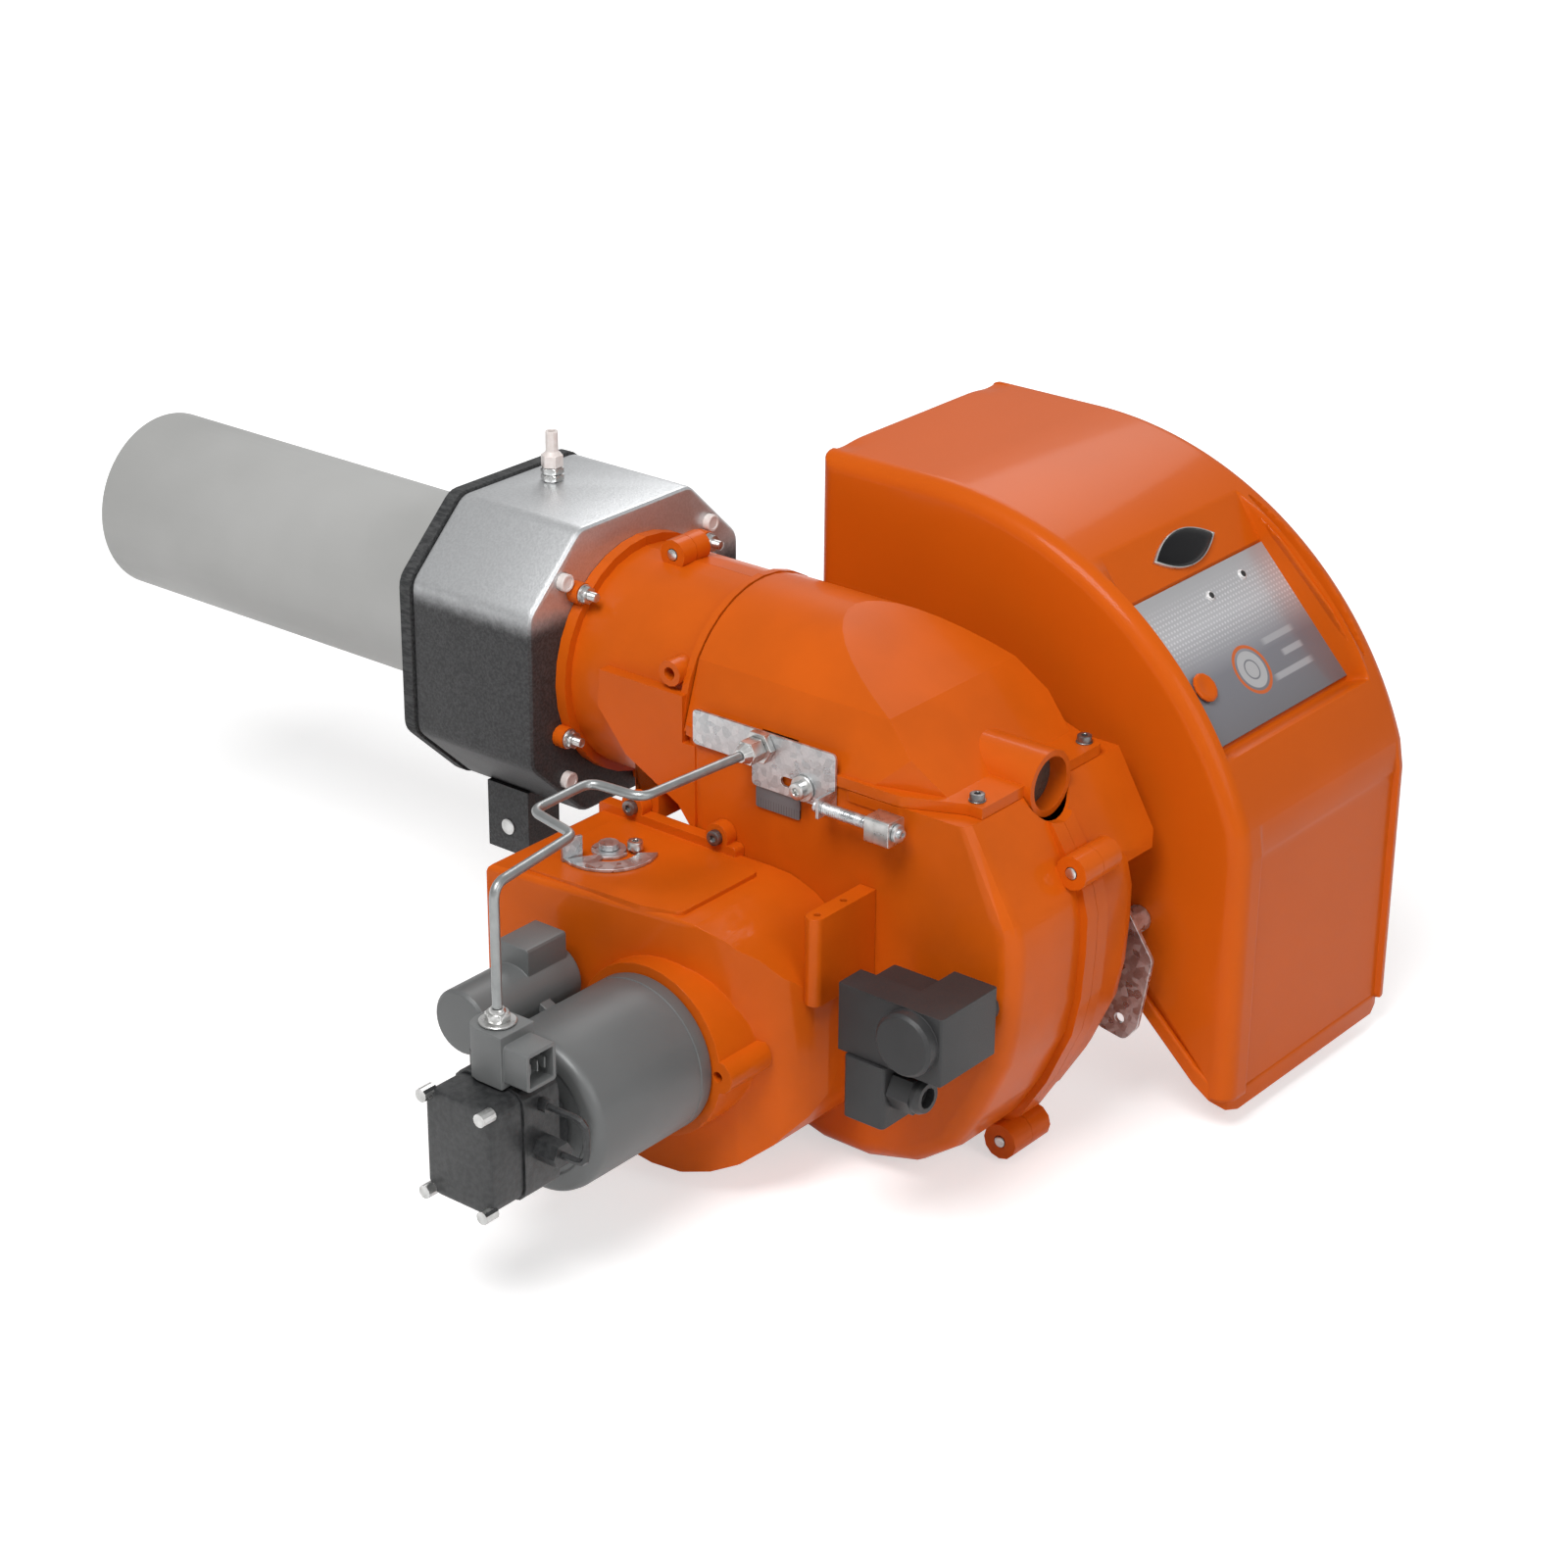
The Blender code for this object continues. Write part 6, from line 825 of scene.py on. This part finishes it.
class BURNER_OT_blast_tube(Maker, bpy.types.Operator):
    """Blast tube with its rolled mouth"""

    bl_idname = "burner.blast_tube"
    bl_label = "Blast tube"

    def make(self, size):
        outer, wall, low, roll = size.tube_radius, size.tube_wall, -0.1085, 0.0008
        inner, end = outer - wall, size.tube_end
        rows = [(low, outer), (-0.0002, outer), (0.10, outer), (end * 0.6, outer), (end - roll, outer),
                (end, outer - wall * 0.4), (end, inner + wall * 0.4), (end - roll, inner), (end * 0.5, inner),
                (low, inner)]
        piece_of("blast_tube", [loop_lathe((0, 0, 0), (0, 1, 0), rows, FINE_SIDES)], tube_sheet())


class BURNER_OT_block(Maker, bpy.types.Operator):
    """Mounting block, gasket, boiler studs, lug pin and pressure tap"""

    bl_idname = "burner.block"
    bl_label = "Mounting block"

    def make(self, size):
        refined("mounting_block", 0.0022, cast_block(), 4)
        refined("front_gasket", 0.0006, fibre_board())
        rows = [(0, 0), (0, 0.0058), (0.1120, 0.0058), (0.1166, 0.0058), (0.1172, 0.0052), (0.1172, 0.0040),
                (0.1166, 0.0036), (0.1166, 0)]
        for node, _, _, mid in numbered("boiler_stud", 4):
            turned(node, (mid.x, -0.0003, mid.z), BACK, stud_plastic(), rows)
        low, high, mid = boxed("block_lug_pin")
        radius, reach = (high.y - low.y) / 2, high.x - low.x
        rows = [(0, 0), (0, radius * 0.8), (0.0006, radius), (reach - 0.0006, radius), (reach, radius * 0.8),
                (reach, 0)]
        turned("block_lug_pin", (low.x, mid.y, mid.z), RIGHT, zinc_plate(), rows)
        nuts = [hex_nut(0.0135, 0.0043, start) for start in (0.0, 0.0047)]
        turned("tap_locknuts", (0.004, -0.0365, 0.0983), UP, zinc_plate(), *nuts)
        refined("pressure_tap", 0.0005, stud_plastic())


class BURNER_OT_casing(Maker, bpy.types.Operator):
    """Two casing halves with their split screws and the flange's studs, washers and nuts"""

    bl_idname = "burner.casing"
    bl_label = "Casing"

    def make(self, size):
        for half in ("casing_left", "casing_right"):
            refined(half, 0.0009, orange_coat(), 3, CASTING_TURN)
        for node, low, high, mid in numbered("casing_screw", 3):
            reach = (high.x - low.x) / 2 - 0.0032
            rows = [(-reach, 0), (-reach, 0.0030), (-reach + 0.0005, 0.0037), (reach - 0.0005, 0.0037),
                    (reach, 0.0030), (reach, 0)]
            turned(node, (0, mid.y, mid.z), RIGHT, zinc_plate(), rows)
        for node, _, _, mid in numbered("flange_nut", 5):
            turned(node, (mid.x, -0.1211, mid.z), BACK, zinc_plate(), washer(0.0065, 0.001),
                   hex_nut(0.0105, 0.004, 0.001), threaded(0.003, -0.0266, 0.0108))


class BURNER_OT_cover(Maker, bpy.types.Operator):
    """Top cover with its spout, glass and two screws"""

    bl_idname = "burner.cover"
    bl_label = "Top cover"

    def make(self, size):
        refined("top_cover", 0.0009, orange_coat(), 3, COVER_TURN)
        refined("sight_glass", 0.0003, clear_glass())
        for node, low, high, mid in numbered("cover_screw", 2):
            seat = high.z - 0.005
            turned(node, (mid.x, mid.y, seat), UP, screw_steel(), washer(0.0053, 0.0009),
                   socket_screw(0.0046, 0.0040, 0.0019, 0.0009, 0.0024, seat - low.z))


class BURNER_OT_intake(Maker, bpy.types.Operator):
    """Air intake housing with its screws, damper lever and flap"""

    bl_idname = "burner.intake"
    bl_label = "Air intake"

    def make(self, size):
        refined("intake_housing", 0.0010, orange_coat(), 3, CASTING_TURN)
        for node, low, high, mid in numbered("intake_screw", 2):
            seat = low.x + 0.004
            turned(node, (seat, mid.y, mid.z), LEFT, screw_steel(),
                   socket_screw(0.0050, 0.0036, 0.0021, 0.0, 0.0030, high.x - seat))
        for node in ("damper_lever", "damper_flap"):
            refined(node, 0.0003, galvanised())
        low, high, mid = boxed("damper_clamp_screw")
        seat = high.z - 0.0055
        turned("damper_clamp_screw", (mid.x, mid.y, seat), UP, zinc_plate(),
               socket_screw(0.0049, 0.0053, 0.0021, 0.0, 0.0024, seat - low.z))


class BURNER_OT_motor(Maker, bpy.types.Operator):
    """Motor shell, capacitor, shaft and fan"""

    bl_idname = "burner.motor"
    bl_label = "Motor and fan"

    def make(self, size):
        low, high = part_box("motor_body")
        reach, radius = high.x - low.x, size.motor_radius
        rows = [(0, 0.0071), (0, radius - 0.0020), (0.0008, radius - 0.0006), (0.0024, radius), (0.0100, radius),
                (0.0104, radius - 0.0005), (0.0112, radius - 0.0005), (0.0116, radius), (reach - 0.0074, radius),
                (reach - 0.0034, radius - 0.0008), (reach - 0.0010, radius - 0.0030), (reach, radius - 0.0060),
                (reach, radius - 0.012), (reach - 0.0012, radius - 0.0135), (reach - 0.0012, 0.0071)]
        piece_of("motor_body", [loop_lathe((high.x, FAN_Y, FAN_Z), LEFT, rows, FINE_SIDES)], grey_enamel())
        refined("motor_capacitor", 0.0012, grey_enamel(), 3)
        refined("motor_shaft", 0.0005, zinc_plate())
        refined("fan_impeller", 0.0003, fan_alloy())


class BURNER_OT_pump(Maker, bpy.types.Operator):
    """Oil pump, its solenoid valve and the oil pipe"""

    bl_idname = "burner.pump"
    bl_label = "Oil pump"

    def make(self, size):
        refined("oil_pump_body", 0.0007, black_casting(), 3)
        front = refined("oil_pump_cover", 0.0007, black_casting(), 3)
        front.data.materials.append(zinc_plate())
        for face in front.data.polygons:
            face.material_index = 1 if face.center.x < PUMP_HEADS_X else 0
        refined("solenoid_coil", 0.0006, coil_moulding(), 3)
        low, high, mid = boxed("solenoid_nut")
        nut = high.z - 0.0075
        stem = [(low.z, 0), (low.z, 0.0049), (nut + 0.006, 0.0049), (high.z, 0.0040), (high.z, 0)]
        turned("solenoid_nut", (mid.x, mid.y, 0), UP, zinc_plate(), washer(0.011, 0.0015, nut - 0.0015),
               hex_nut(0.013, 0.0050, nut), stem)
        bends = ((-0.249, 0.063), (-0.240, 0.023), (-0.189, 0.022), (BEND_X, 0.060))
        route = [(VALVE_X, PUMP_Y, high.z + 0.0003), (VALVE_X, PUMP_Y, LINE_Z),
                 *((x, RIM_Y - back, LINE_Z) for x, back in bends),
                 (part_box("nozzle_line")[0].x - 0.0003, LINE_Y, LINE_Z)]
        path = rounded_path(route, 0.010)
        pipe = object_of("oil_pipe_finished", [swept(path, size.pipe_radius)], pipe_steel())
        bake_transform(pipe, "burner", "head", start=(BEND_X, LINE_Y, LINE_Z), end=(STEADY_X, LINE_Y, LINE_Z))
        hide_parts("oil_pipe")


class BURNER_OT_head(Maker, bpy.types.Operator):
    """Head plate, nozzle line, flame disc and electrodes, with the screw that moves them"""

    bl_idname = "burner.head"
    bl_label = "Burner head"

    def make(self, size):
        refined("adjusting_plate", 0.0003, galvanised())
        refined("nozzle_line", 0.0004, zinc_plate())
        refined("line_locknut", 0.0005, zinc_plate())
        refined("oil_nozzle", 0.0004, turned_brass())
        refined("flame_disc", 0.0003, heat_steel())
        for number in (1, 2):
            refined(f"electrode_{number}", 0.0004, glazed_ceramic())
        refined("index_strip", 0.0002, scale_strip())
        refined("adjuster_block", 0.0006, zinc_plate())
        low, high, mid = boxed("plate_clamp_screw")
        seat, under = low.x + 0.006, -0.0015
        shank = [(seat - high.x, 0), (seat - high.x, 0.0028), (under, 0.0028), (under, 0)]
        turned("plate_clamp_screw", (seat, mid.y, mid.z), LEFT, zinc_plate(), washer(0.0085, 0.0015, under),
               socket_screw(0.0055, 0.0058, 0.0024), shank)
        self.make_rod(size)

    def make_rod(self, size):
        """Thread from the plate's tab to the block: the radius is R less a depth times the distance, in
        pitches, from the thread's crest at that station and angle."""
        low, high, mid = boxed("adjusting_screw")
        block_low, block_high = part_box("adjuster_block")
        radius, sides, pitch = size.rod_radius, 32, 0.0015
        angle = np.linspace(0, 2 * np.pi, sides, endpoint=False)
        station = np.linspace(block_high.y + 0.0025, high.y, 150)
        crest = (station[:, None] / pitch + angle / (2 * np.pi)) % 1.0
        r = radius - 0.0005 * np.abs(2 * crest - 1)
        along = np.repeat(station[:, None], sides, 1)
        rod = np.stack([mid.x + r * np.cos(angle), along, mid.z + r * np.sin(angle)], 2)
        caps = [np.tile((mid.x, y, mid.z), (1, sides, 1)) for y in (station[0], station[-1])]
        near, far, core = block_high.y + 0.0003, block_low.y - 0.0003, radius - 0.0002
        rows = [(near + 0.0022, 0), (near + 0.0022, 0.0052), (near + 0.0018, 0.0056), (near, 0.0056), (near, core),
                (far, core), (far, 0.0056), (far - 0.0017, 0.0056), (far - 0.0021, 0.0050), (far - 0.0021, 0.0030),
                (low.y, 0.0028), (low.y, 0.0015), (low.y + 0.0015, 0.0013, 1), (low.y + 0.0015, 0)]
        grids = [(np.concatenate([caps[0], rod, caps[1]]), True, False)]
        grids.append(lathe((mid.x, 0, mid.z), (0, 1, 0), rows, sides))
        piece_of("adjusting_screw", grids, galvanised())


class BURNER_OT_switch(Maker, bpy.types.Operator):
    """Air pressure switch, its plug and the cable gland's nut"""

    bl_idname = "burner.switch"
    bl_label = "Pressure switch"

    def make(self, size):
        refined("air_pressure_switch", 0.0008, black_moulding(), 3)
        refined("switch_plug", 0.0008, black_moulding(), 3)
        refined("gland_nut", 0.0005, black_moulding())


class BURNER_OT_hood(Maker, bpy.types.Operator):
    """Hood, its tray, the bracket that holds it and the boxes inside"""

    bl_idname = "burner.hood"
    bl_label = "Hood"

    def make(self, size):
        hood = piece_of("hood", [hood_grid(size)], orange_shell())
        wall = hood.modifiers.new("wall", "SOLIDIFY")
        wall.thickness, wall.offset = size.hood_wall, -1.0
        refined("hood_tray", 0.0018, orange_shell(), 4).modifiers["eased_edges"].miter_outer = "MITER_SHARP"
        refined("hood_bracket", 0.0004, galvanised())
        refined("control_box", 0.0010, black_moulding())
        refined("ignition_transformer", 0.0010, coil_moulding())


class BURNER_OT_faceplate(Maker, bpy.types.Operator):
    """Printed faceplate, reset button and the plain oval above them"""

    bl_idname = "burner.faceplate"
    bl_label = "Faceplate"

    def make(self, size):
        refined("faceplate", 0.0003, printed_plate())
        refined("reset_button", 0.0004, orange_shell(), 3)
        foot, edge = np.array((-0.4101, 0.0672)), np.array((-0.3875, 0.0970))
        rise = (edge - foot) / np.linalg.norm(edge - foot)
        out = np.array((-rise[1], rise[0]))
        centre = (size.hood_left + size.hood_width / 2, *((foot + edge) / 2 + out * 0.0002))
        axes = np.array((1.0, 0, 0)), np.array((0, *rise)), np.array((0, *out))
        rim = [(0.0, -0.0015), (1.0, -0.0015), (1.0, 0.0012), (0.975, 0.0018), (0.94, 0.0018), (0.92, 0.0010),
               (0.0, 0.0010)]
        lens = [(0.0, 0.0002), (0.915, 0.0002), (0.915, 0.0013), (0.85, 0.0020), (0.6, 0.0026), (0.3, 0.0029),
                (0.0, 0.0030)]
        for name, rows, material in (("oval_rim", rim, zinc_plate()), ("oval_lens", lens, lens_dark())):
            piece = object_of(name, [lens_grid(centre, *axes, 0.035, 0.0125, rows)], material)
            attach(piece, BODY_OF["hood"])


class BURNER_OT_studio(Maker, bpy.types.Operator):
    """Pale floor, soft lamps, white surroundings and the camera"""

    bl_idname = "burner.studio"
    bl_label = "Studio"

    def make(self, size):
        self.camera()
        self.floor()
        for name, place, power, width in (("key", (-1.5, -0.7, 2.3), 60, 1.4), ("fill", (-0.6, -2.4, 1.1), 13, 1.5),
                                          ("far", (1.9, 0.6, 1.8), 17, 1.4)):
            self.lamp(name, Vector(place), power * look().lamp_level, width)
        self.world()
        bpy.context.scene.view_settings.view_transform = "Standard"

    def camera(self):
        data = bpy.data.cameras.new("camera")
        data.lens, data.sensor_width = 80, 36
        data.clip_start, data.clip_end = 0.05, 50
        camera = bpy.data.objects.new("camera", data)
        back, right = Vector((-0.71088, -0.56861, 0.41393)), Vector((0.62723, -0.77880, 0.00739))
        turn = Matrix((right, back.cross(right), back)).transposed()
        camera.matrix_world = Matrix.Translation((-1.5774, -1.4965, 0.8579)) @ turn.to_4x4()
        bpy.context.scene.collection.objects.link(camera)
        bpy.context.scene.camera = camera

    def floor(self):
        """Flat sheet below the object: z is a constant over a square grid. Camera rays, and some of the glossy
        ones, meet more of its glow the further out they land."""
        reach = np.linspace(-9, 9, 5)
        x, y = np.meshgrid(reach, reach, indexing="ij")
        sheet = np.stack([x, y, np.full_like(x, CAD_BOX[0][2] - 0.0015)], 2)
        finish = Finish("floor_white", base_color=(0.92, 0.92, 0.92), roughness=0.9, specular_ior_level=0.0)
        finish.feed("Roughness", 0.88 + finish.noise(3) * 0.06)
        glow = finish.node("ShaderNodeEmission", {}, {"Color": (1.0, 1.0, 1.0), "Strength": 2.3})
        seen = finish.ray("Camera").top(finish.ray("Glossy") * 0.6)
        x, y = finish.axis("X"), finish.axis("Y")
        share = 0.25 + ((x * x + y * y) ** 0.5).rise(0.7, 2.2) * 0.6
        plain = Reading(finish, finish.shader.outputs[0])
        mixed = finish.node("ShaderNodeMixShader", {}, {0: seen * share, 1: plain, 2: glow})
        finish.tree.links.new(mixed.socket, finish.tree.nodes["Material Output"].inputs["Surface"])
        object_of("floor", [(sheet, False, False)], finish.material)

    def lamp(self, name, place, power, width):
        data = bpy.data.lights.new(name, "AREA")
        data.shape, data.size, data.energy = "DISK", width, power
        lamp = bpy.data.objects.new(name, data)
        facing = (Vector((0, -0.15, -0.05)) - place).to_track_quat("-Z", "Y")
        lamp.matrix_world = Matrix.Translation(place) @ facing.to_matrix().to_4x4()
        bpy.context.scene.collection.objects.link(lamp)

    def world(self):
        """White where a camera or transmission ray meets it, dimmer for a glossy one, and the sky level for
        the rest."""
        world = bpy.data.worlds.new("white_room")
        world.use_nodes = True
        graph = Graph(world.node_tree)
        sky = graph.tree.nodes["Background"]
        sky.inputs["Color"].default_value = (1, 1, 1, 1)
        seen = graph.ray("Camera").top(graph.ray("Transmission")).top(graph.ray("Glossy") * 0.4)
        strength = graph.node("ShaderNodeMapRange", {}, {0: seen, 3: look().sky_level, 4: 1.0})
        graph.tree.links.new(strength.socket, sky.inputs["Strength"])
        bpy.context.scene.world = world


MAKERS = (BURNER_OT_blast_tube, BURNER_OT_block, BURNER_OT_casing, BURNER_OT_cover, BURNER_OT_intake, BURNER_OT_motor,
          BURNER_OT_pump, BURNER_OT_head, BURNER_OT_switch, BURNER_OT_hood, BURNER_OT_faceplate, BURNER_OT_studio)


class BURNER_PT_pieces(bpy.types.Panel):
    """Lists the pieces and the sizes and colours they are made from."""

    bl_idname = "BURNER_PT_pieces"
    bl_label = "Burner"
    bl_space_type = "VIEW_3D"
    bl_region_type = "UI"
    bl_category = "Burner"

    def draw(self, context):
        for settings in (context.scene.burner_sizes, context.scene.burner_look):
            for name in settings.bl_rna.properties.keys():
                if name not in ("rna_type", "name"):
                    self.layout.prop(settings, name)
        for maker in MAKERS:
            self.layout.operator(maker.bl_idname)


CLASSES = (BurnerSizes, BurnerLook, *MAKERS, BURNER_PT_pieces)


def register():
    for item in CLASSES:
        bpy.utils.register_class(item)
    bpy.types.Scene.burner_sizes = bpy.props.PointerProperty(type=BurnerSizes)
    bpy.types.Scene.burner_look = bpy.props.PointerProperty(type=BurnerLook)


def unregister():
    del bpy.types.Scene.burner_look
    del bpy.types.Scene.burner_sizes
    for item in reversed(CLASSES):
        bpy.utils.unregister_class(item)


def main():
    register()
    for maker in MAKERS:
        group, name = maker.bl_idname.split(".")
        getattr(getattr(bpy.ops, group), name)()


if __name__ == "__main__":
    main()
